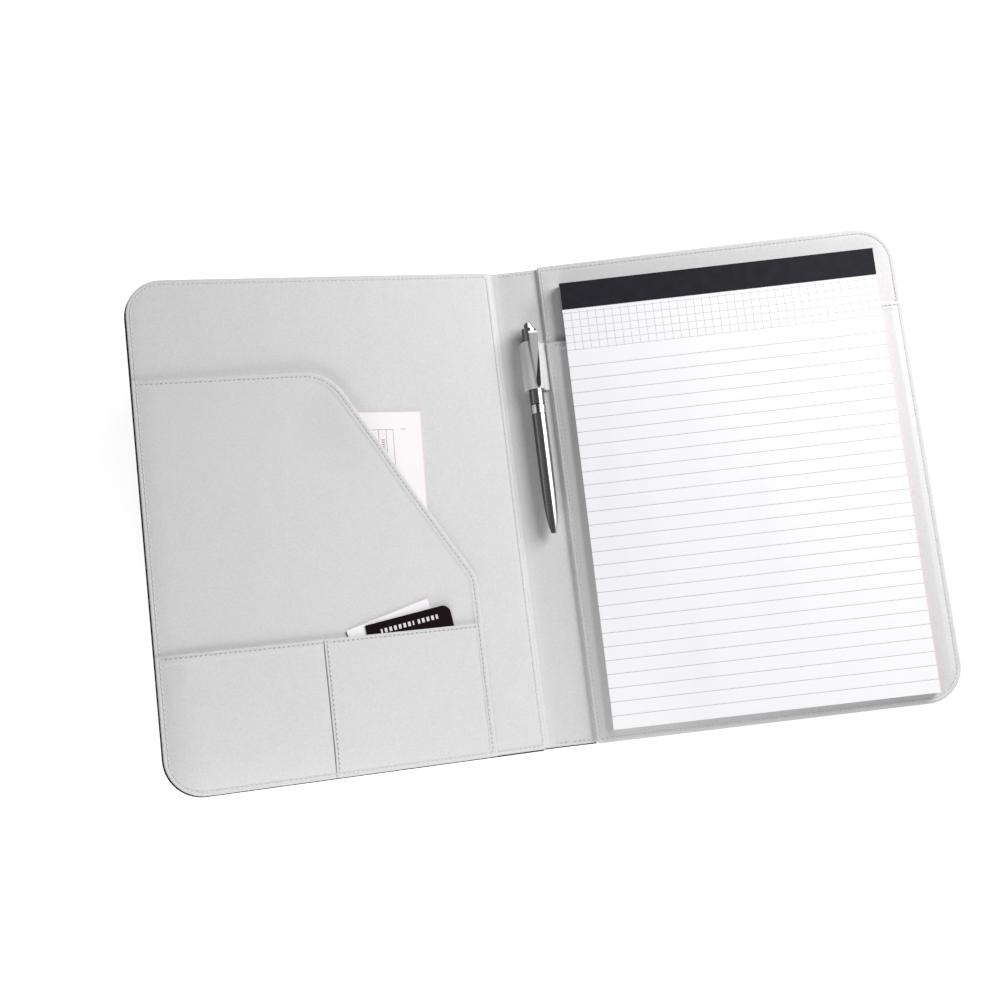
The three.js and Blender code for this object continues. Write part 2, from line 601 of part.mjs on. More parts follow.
// The sheet in the document pocket and the two tickets, each turned about its own upper corner
function makePocketContents() {
  const pocketTop = LINING_TOP + LAYER_GAP + POCKET_ROOM + PANEL;
  const sheetLevel = LINING_TOP + LAYER_GAP;
  const plainLevel = pocketTop + LAYER_GAP;
  const darkLevel = plainLevel + SHEET + LAYER_GAP;
  const placed = (mesh, [side, head], turn) => {
    mesh.position.set(-side, head, 0);
    mesh.rotation.z = MathUtils.degToRad(turn);
    return mesh;
  };
  const ticket = (name, level, radii, finish) =>
    solid(name, plate(rectangle(0, -TICKET_HEIGHT, TICKET_WIDTH, 0, radii), level, level + SHEET), finish);
  return [
    placed(solid('document_sheet', plate(rectangle(-DOCUMENT_WIDTH, -DOCUMENT_HEIGHT, 0, 0),
      sheetLevel, sheetLevel + SHEET), documentPaper), DOCUMENT_CORNER, DOCUMENT_TURN),
    placed(ticket('plain_ticket', plainLevel, [0], whitePaper), PLAIN_TICKET_CORNER, PLAIN_TICKET_TURN),
    placed(ticket('dark_ticket', darkLevel, [0, 0, DARK_TICKET_RADIUS, 0], darkCard),
      DARK_TICKET_CORNER, DARK_TICKET_TURN),
  ];
}

const folder = group('folder', makeBackCover(), makeSpine(), makeFrontCover());
const bounds = new THREE.Box3().setFromObject(folder, true);
const middle = bounds.getCenter(new Vector3());
folder.position.set(-middle.x, -middle.y, -bounds.min.z);

export default folder;
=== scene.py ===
"""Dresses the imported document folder: leatherette covers, sewn pockets, seams, memo pad, papers and pen.

Lengths in the tables below are millimetres in the frame of the piece that they belong to; the meshes are in
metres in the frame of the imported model.
"""

import json
import math

import bpy
import numpy as np
from bpy.props import FloatProperty, FloatVectorProperty, IntProperty, PointerProperty
from bpy.types import Operator, Panel, PropertyGroup
from mathutils import Matrix, Vector, noise
from mathutils.geometry import delaunay_2d_cdt


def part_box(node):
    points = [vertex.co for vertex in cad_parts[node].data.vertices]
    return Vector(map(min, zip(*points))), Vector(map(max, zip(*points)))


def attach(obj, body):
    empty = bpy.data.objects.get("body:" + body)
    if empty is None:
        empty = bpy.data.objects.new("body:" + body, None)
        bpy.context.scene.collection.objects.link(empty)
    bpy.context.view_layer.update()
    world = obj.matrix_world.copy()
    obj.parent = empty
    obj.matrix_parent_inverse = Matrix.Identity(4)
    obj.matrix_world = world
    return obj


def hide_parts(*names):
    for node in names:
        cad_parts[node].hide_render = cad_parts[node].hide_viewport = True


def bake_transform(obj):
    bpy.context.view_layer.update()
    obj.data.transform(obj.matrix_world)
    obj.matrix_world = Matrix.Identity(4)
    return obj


bl_info = {
    "name": "Document folder",
    "version": (1, 0, 0),
    "blender": (4, 5, 0),
    "location": "View3D > Sidebar > Folder",
    "description": "Builds the looks of an open A4 conference folder round its CAD frame",
    "category": "Object",
}

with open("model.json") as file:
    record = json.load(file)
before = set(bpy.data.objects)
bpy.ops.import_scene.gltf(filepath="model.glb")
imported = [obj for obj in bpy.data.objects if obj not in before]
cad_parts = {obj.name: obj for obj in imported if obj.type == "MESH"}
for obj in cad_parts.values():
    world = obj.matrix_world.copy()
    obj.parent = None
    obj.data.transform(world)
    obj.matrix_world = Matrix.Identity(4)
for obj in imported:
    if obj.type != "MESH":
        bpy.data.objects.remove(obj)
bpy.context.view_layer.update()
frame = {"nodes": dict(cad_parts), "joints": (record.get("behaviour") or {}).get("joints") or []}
MM = 0.001

# ---- The frame's own measures -------------------------------------------------------------------------

PAGE_WIDTH = 239.0
PAGE_HEIGHT = 318.0
PAGE_CORNER = 24.0
SPINE_CORNER = 2.0
CREASE_REACH = 2.4
CREASE_LEVEL = 2.0
SPINE_WIDTH = 33.3
SPINE_SHORTER = 1.0
STRIP_GAP = 0.3
PANEL_THICKNESS = 0.7
SLOT_MOUTH = 265.0
POCKET_TOP = 253.7
POCKET_SIDE = 33.8
POCKET_CORNERS = [
    (-PAGE_WIDTH + 0.5, 0.45, PAGE_CORNER),
    (-POCKET_SIDE, 0.45, 0.0),
    (-POCKET_SIDE, 115.2, 20.0),
    (-117.2, POCKET_TOP, 30.0),
    (-PAGE_WIDTH + 0.5, POCKET_TOP, 0.0),
]
TICKET_TOP = 85.0
TICKET_DIVIDER = 137.3
TICKET_INNER_SIDE = POCKET_SIDE + 5.3
TICKET_SIDE_SEAM = 4.2
TICKET_DIVIDER_SEAM = 2.2
PAD_WIDTH = 210.0
PAD_HEIGHT = 294.0
PAD_CORNER = (11.4, 7.8)
PAD_SHEETS_FOOT = 8.15
PAD_SHEETS_TOP = 11.75
TOP_SHEET_LEVEL = 12.05
TOP_SHEET_HEAD = 276.7
PAPER_THICKNESS = 0.25
# Foot and head of the memo paper's grid, its first ruled line below it, and where the lines end
MEMO_PRINT = (248.9, 275.2, 237.6, 7.0)
# Head, foot and uprights of the form that is printed on the letter, from the letter's corner
FORM_HEAD = 11.8
FORM_FOOT = 190.0
FORM_UPRIGHTS = (19.0, 23.7, 28.7, 47.0, 64.0)
LETTER_SIZE = (148.0, 210.0)
LETTER_CORNER = (-58.6, 225.4)
LETTER_TURN = -2.3
LETTER_LEVEL = 5.7
TICKET_SIZE = (56.0, 80.0)
WHITE_TICKET_CORNER = (-122.4, 88.8)
WHITE_TICKET_TURN = 16.0
WHITE_TICKET_LEVEL = 7.5
BLACK_TICKET_CORNER = (-110.5, 90.8)
BLACK_TICKET_TURN = 8.7
BLACK_TICKET_LEVEL = 8.0
BLACK_TICKET_RADIUS = 5.5
PEN_SIDE = -10.7
PEN_TIP = 137.8
PEN_LEVEL = 10.05
PEN_RADIUS = 4.75
PEN_BORE = 4.0
LOOP_FOOT = 233.4
LOOP_WIDTH = 32.4
LOOP_FOLD = -18.2
LOOP_SEWN_EDGE = -1.0
STRAP_THICKNESS = 0.9
STRAP_LEVEL = 4.1
# Slant of a stitch in degrees, how far its thread stands out as a share of its radius, how far the painted
# shade marks of its needle holes stand out, and such a mark's half length, half width and flatness
STITCH_SLANT = 12.0
THREAD_STAND = 0.35
HOLE_SHADE_STAND = 0.02
HOLE_SHADE_SHAPE = (1.7, 0.7, 0.12)
CLIP_TURN = 8.0
CLIP_SHIFT = 1.3
CLIP_HEAD = 134.3
CLIP_TIP = 96.1
# Length of the clip's head that carries a painted highlight, and the place along the pen below which the
# blade's right side carries painted shade
CLIP_BEVEL = 1.8
CLIP_PAINTED_SHADE_TOP = 122.0
CLIP_TIP_HALF_WIDTH = 1.25
BARREL_JOINT = 79.1
# Radius of the lower barrel over the distance from the pen's tip
BARREL_TAPER = [(0.0, 1.9), (1.2, 1.95), (3.1, 2.45), (5.7, 3.05), (9.6, 3.6), (14.8, 4.0), (21.4, 4.35),
                (31, 4.62), (51, 4.78), (70.5, 4.8), (79.1, 4.8)]

# Heights of the lining's face over the distance from the page's edge: turned edge, shallow seam, padded page
LINING_FACE = [(-0.8, 3.6), (0, 4.35), (0.4, 4.9), (1.0, 5.16), (1.8, 5.2), (2.6, 5.12), (3.2, 5.05),
               (4.0, 5.15), (6, 5.27), (8, 5.32), (20, 5.4)]
LINING_BACK = [(-0.8, 2.8), (0, 2.85), (4.2, 2.85), (8, 4.4), (20, 4.6)]
SKIN_FACE = [(-0.9, 1.75), (0, 1.6), (2.6, 1.5), (3.2, 1.85), (4.2, 1.5), (5.6, 1.1), (8, 0.25), (11, 0.0),
             (20, 0.0)]
SKIN_BACK = [(-0.9, 2.45), (0, 2.5), (4.2, 2.5), (8, 0.95), (20, 0.9)]
# Rise of a pocket's face above the lining's, sewn edge first
POCKET_RISE = [(3, 1.0), (12, 1.45)]
SLOT_RISE = [(2.6, 0.9), (7.8, 2.1)]
TICKET_RISE = [(2.6, 1.9), (9, 2.9), (17, 3.7)]
TICKET_FULL_RISE = 3.7
TICKET_SEWN_RISE = 3.6
# The small pockets' hem seam lies closer to the edge than the others, by this share
TICKET_HEM_SHARE = 0.75
# Height of a hem over the distance from its folded edge
HEM_FACE = [(-1, 0.2), (0, 0.3), (0.8, 0.45), (2.0, 0.42), (2.8, 0.12), (3.5, 0.34), (4.8, 0.3),
            (5.6, 0.0), (9, 0.0)]
# Heights of the spine's face and back over the distance from each page's rim to the middle of the spine
SPINE_FACE = {1: [(0.08, 2.95), (1.2, 2.85), (2.4, 2.85), (4.5, 3.0), (8, 3.2), (17, 3.3)],
              -1: [(0.08, 4.1), (1.2, 4.06), (2.6, 4.0), (3.5, 3.92), (4.5, 3.76), (6, 3.55), (8, 3.4),
                   (11, 3.33), (17, 3.3)]}
SPINE_BACK = [(0.3, 2.1), (1.2, 2.0), (2.4, 1.95), (3.6, 2.1), (5.0, 2.65), (17, 2.7)]
SPINE_SKIN_FACE = [(0.3, 1.35), (1.2, 1.0), (2.4, 0.85), (3.6, 0.75), (5.5, 0.25), (8, 0.0), (17, 0.0)]
SPINE_SKIN_BACK = [(0.3, 1.95), (1.2, 1.6), (2.4, 1.4), (3.6, 1.45), (5.5, 1.05), (8, 0.9), (17, 0.9)]
SPINE_END_FACE = [(-1, -0.6), (0, -0.25), (0.8, 0.0), (1.5, 0.02), (2.2, -0.22), (2.9, 0.0), (9, 0.0)]
SPINE_SEAM = 2.2
SPINE_RIM = 0.08
# How far the lining and the leather stand past each page's foot, far edge and head
LINING_LAP = {1: (0.0, -0.3, 0.2), -1: (-0.6, -0.75, -0.1)}
LEATHER_LAP = {1: (-0.2, -0.5, 0.0), -1: (0.35, 0.15, -0.3)}
# How far the lining falls off at the spine, and over what distance
NEAR_SLOPE = {1: 0.0, -1: 0.25}
NEAR_SLOPE_REACH = 2.8
# How the distance from the spine counts against that from the other edges
NEAR_SCALE = {1: 1.28, -1: 1.23}
# Distance from a page's edge where its padding begins, and that over which it comes to its full softness
PADDING_START = 6.0
PADDING_REACH = 20.0
# How deep the front cover's padding is pressed in beside the large pocket's mouth, how far from it, and its
# share away from the mouth's bend
MOUTH_SINK = 0.65
MOUTH_SINK_REACH = 5.0
MOUTH_SINK_REST = 0.3
# Where the large pocket's mouth bends, and how far to each side that is felt in the sink and in the stand
MOUTH_BEND = -112.0
MOUTH_SINK_SPREAD = 60.0
MOUTH_STAND_SPREAD = 85.0
# The mouth stands open above this height, fully so after this distance, and that far into the pocket
MOUTH_STAND_FOOT = 172.0
MOUTH_STAND_RAMP = 38.0
MOUTH_STAND_REACH = 26.0

# Distances from a sheet's edge at which its mesh has a ring of points
EDGE_RINGS = [0.3, 0.6, 0.9, 1.3, 1.8, 2.3, 2.7, 3.0, 3.3, 3.6, 3.9, 4.3, 4.8, 5.4, 6.2, 7.0, 7.7, 8.4, 9.4,
              11, 13]
STRIP_RINGS = [inset for inset in EDGE_RINGS if inset < 7.3]
BACK_RINGS = [0.4, 2, 4.2, 6, 8, 10, 13]

# Camera and lamps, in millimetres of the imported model's frame
CAMERA_PLACE = (-36.8, -117.2, 909.0)
CAMERA_VIEW = (0.0047, 0.1342, -0.9909)
CAMERA_UP = (0.1195, 0.9838, 0.1338)
CAMERA_LENS = 50.0
# Name, place, target, size and watts of each lamp
LAMPS = [
    ("key_lamp", (744, 423, 539), (0, 0, 0), 700, 11.2),
    ("fill_lamp", (-160, -520, 300), (0, 0, 0), 400, 1.7),
]
WORLD_STRENGTH = 0.14
FLOOR_SIZE = 8.0
# Glow of the floor beside the folder and where its shadow ends, and how far both are from the centre
FLOOR_GLOW = (0.78, 1.0)
FLOOR_RIM = (300, 480)


def tone(code):
    """Linear red, green and blue of a colour written as 0xRRGGBB."""
    parts = [(code >> shift & 255) / 255 for shift in (16, 8, 0)]
    return tuple(c / 12.92 if c <= 0.04045 else ((c + 0.055) / 1.055) ** 2.4 for c in parts)


def length(name, description, default, **extra):
    return FloatProperty(name=name, description=description, default=default * MM, min=0, unit="LENGTH",
                         **extra)


def colour(name, description, code):
    return FloatVectorProperty(name=name, description=description, default=tone(code), min=0, max=1,
                               size=3, subtype="COLOR")


class FolderSizes(PropertyGroup):
    """Sizes of the sewn and printed details."""
    stitch_pitch: length("Stitch pitch", "Distance from one stitch to the next", 2.95)
    stitch_length: length("Stitch length", "Length of the thread that shows in a stitch", 2.3)
    thread: length("Thread", "Thickness of the thread", 0.65)
    # The needle hole's size is that of its painted shade mark
    needle_hole: length("Needle hole", "Half width of a needle hole", 0.5)
    seam_inset: length("Seam inset", "Distance of the outer seam from the cover's edge", 3.2)
    hem_inset: length("Hem seam inset", "Distance of a pocket's seam from its folded edge", 2.8)
    waviness: length("Waviness", "Height of the soft waves in the leatherette", 0.16)
    mouth_lift: length("Mouth lift", "How far the large pocket's mouth stands open", 2.9)
    ticket_curl: length("Ticket curl", "How far the tickets bend up at their ends", 1.6)
    page_wave: length("Page wave", "Height of the waves in the memo paper", 0.12)
    rule_pitch: length("Rule pitch", "Distance between the ruled lines", 8.808)
    grid_column: length("Grid column", "Width of a cell of the printed grid", 5.445)
    grid_row: length("Grid row", "Height of a cell of the printed grid", 5.05)
    line_width: length("Line width", "Width of a printed line", 0.3)
    grain: length("Grain", "Size of the leatherette's grain", 0.75)
    pad_layers: IntProperty(name="Sheets", description="Sheets that show at the pad's edges", default=16,
                            min=2)


class FolderColours(PropertyGroup):
    """Colours of the finishes."""
    lining: colour("Lining", "Leatherette inside the covers", 0xDBDBDB)
    pocket: colour("Pockets", "Leatherette of the pockets and the pen loop", 0xDBDBDB)
    leather: colour("Outer leather", "Leatherette outside the covers", 0x151517)
    thread_inside: colour("Inside thread", "Thread that shows inside", 0xE4E4E4)
    thread_outside: colour("Outside thread", "Thread that shows outside", 0x29292C)
    paper: colour("Paper", "Memo paper", 0xFEFDFF)
    letter: colour("Letter paper", "Paper of the sheet in the large pocket", 0xFFFAFC)
    ink: colour("Ink", "Printed rules and grid", 0x9A9AA8)
    card: colour("Dark card", "Dark ticket", 0x10060A)
    tape: colour("Tape", "Binding tape", 0x1B1B22)
    greyboard: colour("Greyboard", "Board in the covers and behind the pad", 0x8D8A84)
    foam: colour("Foam", "Padding in the covers", 0xE6E2D2)
    # Steel and chrome are also the greys from which the pen's painted reflections are made
    steel: colour("Steel", "Barrel of the pen", 0x505256)
    chrome: colour("Chrome", "Clip, ring and button of the pen", 0xA2A4A8)
    plastic: colour("Plastic", "Refill of the pen", 0xE8E8E6)


def sizes():
    """The detail sizes in millimetres, by name."""
    group = bpy.context.scene.folder_sizes
    return {name: getattr(group, name) / (1 if name == "pad_layers" else MM)
            for name in FolderSizes.__annotations__}


def colours():
    return bpy.context.scene.folder_colours


# ---- Places -------------------------------------------------------------------------------------------

def joint(name):
    return next(j for j in frame["joints"] if j["name"] == name)


def shifted(x, y, z=0.0):
    return Matrix.Translation((x * MM, y * MM, z * MM))


PAGE_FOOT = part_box("back_lining")[0]
BACK_PAGE = Matrix.Translation((PAGE_FOOT.x, PAGE_FOOT.y, 0))
HINGE = Vector(joint("front_fold")["pos_m"])
FRONT_TILT = -math.radians(joint("front_fold")["range_deg"][0])
FRONT_PAGE = (Matrix.Translation((HINGE.x, PAGE_FOOT.y, HINGE.z)) @ Matrix.Rotation(FRONT_TILT, 4, "Y")
              @ shifted(-CREASE_REACH, 0, -CREASE_LEVEL))
PAD_AXIS = joint("pad_slide")["axis"]
PAD = BACK_PAGE @ shifted(*PAD_CORNER) @ Matrix.Rotation(-math.atan2(PAD_AXIS[0], PAD_AXIS[1]), 4, "Z")
PEN = BACK_PAGE @ shifted(PEN_SIDE, PEN_TIP, PEN_LEVEL)


def on_front(corner, turn):
    """Place of a sheet on the front page whose corner and turn in degrees are given."""
    return FRONT_PAGE @ shifted(*corner) @ Matrix.Rotation(math.radians(turn), 4, "Z")


# ---- Curves and outlines ------------------------------------------------------------------------------

def eased(stops, soft=0.7, step=0.05):
    """A function through (distance, height) stops, with its corners softened."""
    along, height = zip(*stops)
    reach = np.arange(along[0], along[-1] + step, step)
    window = np.hanning(int(soft / step) * 2 + 3)
    half = len(window) // 2
    values = np.pad(np.interp(reach, along, height), half, "edge")
    values = np.convolve(values, window / window.sum(), "valid")
    return lambda distance: np.interp(distance, reach, values)


def smooth(share):
    """A share from 0 to 1, eased at both ends."""
    return share * share * (3 - 2 * share)


def rectangle(left, foot, right, head, radii=(0, 0, 0, 0)):
    """Corners of a rectangle, each with its radius, from its left foot anticlockwise."""
    return [(left, foot, radii[0]), (right, foot, radii[1]), (right, head, radii[2]), (left, head, radii[3])]


def page_corners(side, laps=(0.0, 0.0, 0.0), inset=0.0, near=0.0):
    """Corners of a page whose foot, far edge and head stand past its outline by three laps, less an inset.

    Side is 1 for the back cover and -1 for the front cover, and near is the inset from the spine.
    """
    foot, far, head = (lap - inset for lap in laps)
    left, right = sorted((side * near, side * (PAGE_WIDTH + far)))
    outer = PAGE_CORNER + far
    radii = (SPINE_CORNER, outer, outer, SPINE_CORNER)
    if side < 0:
        radii = (outer, SPINE_CORNER, SPINE_CORNER, outer)
    return rectangle(left, -foot, right, PAGE_HEIGHT + head, radii)


def outline(corners, inset=0.0, spacing=2.0, corner_steps=14):
    """Points of a convex outline, anticlockwise, drawn in by an inset.

    Their count depends on the corners and the spacing alone, so that the rings of one sheet match.
    """
    places = [np.array(c[:2], float) for c in corners]
    count = len(places)
    ways = [places[(i + 1) % count] - places[i] for i in range(count)]
    spans = [float(np.hypot(*w)) for w in ways]
    ways = [w / s for w, s in zip(ways, spans)]
    arcs = []
    for i, corner in enumerate(corners):
        before, after, radius = ways[i - 1], ways[i], corner[2]
        turn = math.atan2(before[0] * after[1] - before[1] * after[0], before @ after)
        inward = np.array((-before[1], before[0]))
        kept = max(radius - inset, 0.2) if radius else 0.0
        centre = places[i] + inward * (inset + kept) - before * (kept + inset) * math.tan(turn / 2)
        steps = corner_steps if radius > SPINE_CORNER else (4 if radius else 0)
        angles = turn * np.arange(steps + 1) / max(steps, 1)
        cos, sin = np.cos(angles)[:, None], np.sin(angles)[:, None]
        arcs.append(centre - kept * (inward * cos - before * sin))
    ring = []
    for i, arc in enumerate(arcs):
        ring.append(arc)
        gap = max(int(spans[i] / spacing), 1)
        share = (np.arange(1, gap) / gap)[:, None]
        ring.append(arc[-1] * (1 - share) + arcs[(i + 1) % count][0] * share)
    return np.concatenate(ring)


def depth_of(x, y, near_scale=1.0):
    """How far a point lies inside its page's outline; near_scale stretches the distance from the spine."""
    across = np.abs(x)
    far = PAGE_WIDTH - across
    end = np.minimum(y, PAGE_HEIGHT - y)
    depth = np.minimum(np.minimum(across * near_scale, far), end)
    corner = (far < PAGE_CORNER) & (end < PAGE_CORNER)
    return np.where(corner, PAGE_CORNER - np.hypot(PAGE_CORNER - far, PAGE_CORNER - end), depth)


def distance_to(line, x, y):
    """Least distance from each point to an open line of points."""
    nearest = np.full(np.shape(x), 1e9)
    for a, b in zip(line[:-1], line[1:]):
        way = b - a
        span = max(float(way @ way), 1e-12)
        share = np.clip(((x - a[0]) * way[0] + (y - a[1]) * way[1]) / span, 0, 1)
        nearest = np.minimum(nearest, np.hypot(x - a[0] - share * way[0], y - a[1] - share * way[1]))
    return nearest


def contains(ring, x, y):
    """Whether points lie inside a convex ring."""
    inside = np.ones(np.shape(x), bool)
    for a, b in zip(ring, np.roll(ring, -1, 0)):
        inside &= (b[0] - a[0]) * (y - a[1]) - (b[1] - a[1]) * (x - a[0]) > -1e-6
    return inside


def waves(x, y, seed, scale, height):
    """Soft waves over a surface, about `scale` millimetres wide; each seed gives others."""
    return height * np.array([noise.noise(Vector((a / scale, b / scale, seed))) for a, b in zip(x, y)])


# ---- Meshes -------------------------------------------------------------------------------------------

def piece(name, points, faces, place, finish, crease=40.0):
    """A mesh object from local points in millimetres; each point keeps its local place for the finish.

    Edges whose faces turn by more than `crease` degrees stay sharp.
    """
    local = np.asarray(points, float) * MM
    turn = np.array(place)
    mesh = bpy.data.meshes.new(name)
    mesh.from_pydata((local @ turn[:3, :3].T + turn[:3, 3]).tolist(), [], [list(map(int, f)) for f in faces])
    mesh.attributes.new("place", "FLOAT_VECTOR", "POINT").data.foreach_set("vector", local.ravel())
    mesh.polygons.foreach_set("use_smooth", [True] * len(mesh.polygons))
    mesh.set_sharp_from_angle(angle=math.radians(crease))
    mesh.materials.append(finish)
    mesh.validate()
    made = bpy.data.objects.new(name, mesh)
    bpy.context.scene.collection.objects.link(made)
    return made


def lofted(rings, closed=False):
    """Points and faces through rings of points with equal counts, with no caps."""
    count = len(rings[0])
    total = len(rings)
    faces = []
    for r in range(total if closed else total - 1):
        here, there = r * count, (r + 1) % total * count
        faces += [(here + i, here + (i + 1) % count, there + (i + 1) % count, there + i)
                  for i in range(count)]
    return np.concatenate(rings), faces


def capped(rings):
    """Points and faces through rings of points, closed at both ends."""
    points, faces = lofted(rings)
    count = len(rings[0])
    faces.append(tuple(range(count))[::-1])
    faces.append(tuple(range(len(points) - count, len(points))))
    return points, faces


def inside_out(faces):
    return [face[::-1] for face in faces]


def fill(ring, spacing):
    """Points inside a convex ring and triangles over it; ring points come first."""
    low, high = ring.min(0), ring.max(0)
    axes = [np.arange(low[k], high[k], spacing) for k in (0, 1)]
    grid = np.stack(np.meshgrid(*axes), -1).reshape(-1, 2) + spacing / 2
    centre = ring.mean(0)
    drawn = centre + (ring - centre) * (1 - spacing / np.ptp(ring, 0))
    grid = grid[contains(drawn, grid[:, 0], grid[:, 1])]
    count = len(ring)
    edges = [(i, (i + 1) % count) for i in range(count)]
    places = [Vector(p) for p in (*ring, *grid)]
    points, _, faces, sources, _, _ = delaunay_2d_cdt(places, edges, [], 1, 1e-5)
    if len(points) != count + len(grid) or any(s[0] != i for i, s in enumerate(sources)):
        raise RuntimeError("the inner points of a panel run into its edge")
    return grid, [tuple(f) for f in faces]


def panel(name, corners, over, under, place, finish, insets=EDGE_RINGS, backs=BACK_RINGS, spacing=2.0,
          grid=6.0, roll=0.35, square=None):
    """A closed sheet of cloth or leather between two height functions, with a rolled edge.

    Insets and backs are the rings of points on its face and its back, spacing and grid the distances between
    points along the rings and inside them. `square(x, y)` marks the edge points that stay square, where two
    sheets meet.
    """
    rim = outline(corners, 0.0, spacing)
    inner_face = outline(corners, insets[-1], spacing)
    inner_back = outline(corners, backs[-1], spacing)
    kept = square(rim[:, 0], rim[:, 1]) if square else np.zeros(len(rim), bool)
    rings = []

    def add(flat, height):
        rings.append(np.column_stack((flat, height(flat[:, 0], flat[:, 1]))))

    for inset in reversed(backs):
        add(outline(corners, inset, spacing), under)
    for angle in np.radians((-60, -25, 0, 25, 60)):
        drawn = outline(corners, roll * (1 - math.cos(angle)), spacing)
        flat = np.where(kept[:, None], rim, drawn)
        low, high = under(flat[:, 0], flat[:, 1]), over(flat[:, 0], flat[:, 1])
        share = np.where(kept, (1 + angle / math.radians(60)) / 2, (1 + math.sin(angle)) / 2)
        rings.append(np.column_stack((flat, low + (high - low) * share)))
    for inset in insets:
        add(outline(corners, inset, spacing), over)
    _, faces = lofted(rings)
    count, total = len(rim), len(rings) * len(rim)
    start = total
    for ring, first, height, flipped in ((inner_back, 0, under, True),
                                         (inner_face, total - count, over, False)):
        inside, triangles = fill(ring, grid)
        add(inside, height)
        order = [*range(first, first + count), *range(start, start + len(inside))]
        start += len(inside)
        triangles = [tuple(order[i] for i in face) for face in triangles]
        faces += inside_out(triangles) if flipped else triangles
    return piece(name, np.concatenate(rings), faces, place, finish)


def declared(made, slot, body, *nodes):
    """Attaches a piece to the body it rides on and hides the nodes that it stands for; its slot is not used.
    """
    if nodes:
        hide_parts(*nodes)
    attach(made, body)
    return made


def spaced(line, pitch, closed=False):
    """Points every pitch along a line, each with its unit direction."""
    line = np.asarray(line, float)
    if closed:
        line = np.vstack((line, line[:1]))
    steps = np.hypot(*np.diff(line, axis=0).T)
    along = np.concatenate(([0], np.cumsum(steps)))
    count = max(int(round(along[-1] / pitch)), 1)
    stations = (np.arange(count) + 0.5) * along[-1] / count
    at, ahead, behind = (np.column_stack([np.interp(stations + step, along, line[:, k]) for k in (0, 1)])
                         for step in (0.0, 0.2, -0.2))
    way = ahead - behind
    return at, way / np.maximum(np.hypot(*way.T), 1e-9)[:, None]


def capsule(half_length, radius, sides=6):
    """Points and faces of a short thread along x."""
    rings = []
    for x, r in ((-1.0, 0.35), (-0.8, 0.85), (-0.3, 1.0), (0.3, 1.0), (0.8, 0.85), (1.0, 0.35)):
        angles = 2 * math.pi * np.arange(sides) / sides
        rings.append(np.column_stack((np.full(sides, x * half_length), r * radius * np.cos(angles),
                                      r * radius * np.sin(angles))))
    points, faces = capped(rings)
    return points, inside_out(faces)


def repeated(template, at, along, up):
    """Copies of a template at each point, turned to its along and up directions."""
    points, faces = template
    across = np.cross(up, along)
    turns = np.stack((along, across, up), 2)
    copies = np.einsum("nij,kj->nki", turns, points) + at[:, None, :]
    count = len(points)
    return copies.reshape(-1, 3), [tuple(i + n * count for i in f) for n in range(len(at)) for f in faces]


def stitches(name, lines, surface, place, body, finishes, slot="lining_leather", facing=1):
    """Sewn thread along flat lines on a surface, which may be closed, with painted shade marks for its needle
    holes.

    Finishes are those of the thread and of the painted hole shade; facing is -1 where the surface looks down.
    """
    size = sizes()
    ats, ways = zip(*(spaced(line, size["stitch_pitch"], closed) for line, closed in lines))
    flat, way = np.concatenate(ats), np.concatenate(ways)

    def lifted(points):
        return np.column_stack((points, surface(points[:, 0], points[:, 1])))

    def oriented(points, heading, reach):
        ends = [lifted(points + heading * s * reach) for s in (-1, 1)]
        along = ends[1] - ends[0]
        along /= np.linalg.norm(along, axis=1)[:, None]
        side = np.column_stack((-heading[:, 1], heading[:, 0], np.zeros(len(heading))))
        up = np.cross(along, side) * facing
        return ends, along, up / np.linalg.norm(up, axis=1)[:, None]

    turn = math.radians(STITCH_SLANT)
    slanted = way @ np.array(((math.cos(turn), math.sin(turn)), (-math.sin(turn), math.cos(turn))))
    ends, along, up = oriented(flat, slanted, size["stitch_length"] / 2)
    thread = size["thread"] / 2
    middle = (ends[0] + ends[1]) / 2 + up * thread * THREAD_STAND
    points, faces = repeated(capsule(size["stitch_length"] / 2, thread), middle, along, up)
    sewn = piece(f"{name}_thread", points, faces, place, finishes[0])
    # Painted shade: dark marks between the stitches stand for the shade in the needle holes
    between = flat + way * size["stitch_pitch"] / 2
    ends, along, up = oriented(between, way, size["needle_hole"])
    middle = (ends[0] + ends[1]) / 2 + up * HOLE_SHADE_STAND
    long, wide, thin = HOLE_SHADE_SHAPE
    points, faces = capsule(size["needle_hole"] * long, size["needle_hole"] * wide, 8)
    points, faces = repeated((points * (1, 1, thin), faces), middle, along, up)
    painted_hole_shades = piece(f"{name}_holes", points, faces, place, finishes[1])
    for made in (sewn, painted_hole_shades):
        declared(made, slot, body)


def turned(points, steps=64):
    """A turned solid round y from [radius, place] points that run round its section."""
    section = np.array(points, float)
    angles = 2 * math.pi * np.arange(steps) / steps
    rings = [np.column_stack((section[:, 0] * math.cos(a), section[:, 1], section[:, 0] * math.sin(a)))
             for a in angles]
    return lofted(rings, closed=True)


def rounded_profile(points, radius=0.15):
    """A section whose corners are broken by small chamfers."""
    points = [np.array(p, float) for p in points]
    made = []
    for i, here in enumerate(points):
        before, after = points[i - 1] - here, points[(i + 1) % len(points)] - here
        spans = [float(np.hypot(*before)), float(np.hypot(*after))]
        if min(spans) < 3 * radius or here[0] < 1e-6:
            made.append(here)
            continue
        made.append(here + before / spans[0] * radius)
        made.append(here + after / spans[1] * radius)
    return made


# ---- Shader expressions -------------------------------------------------------------------------------

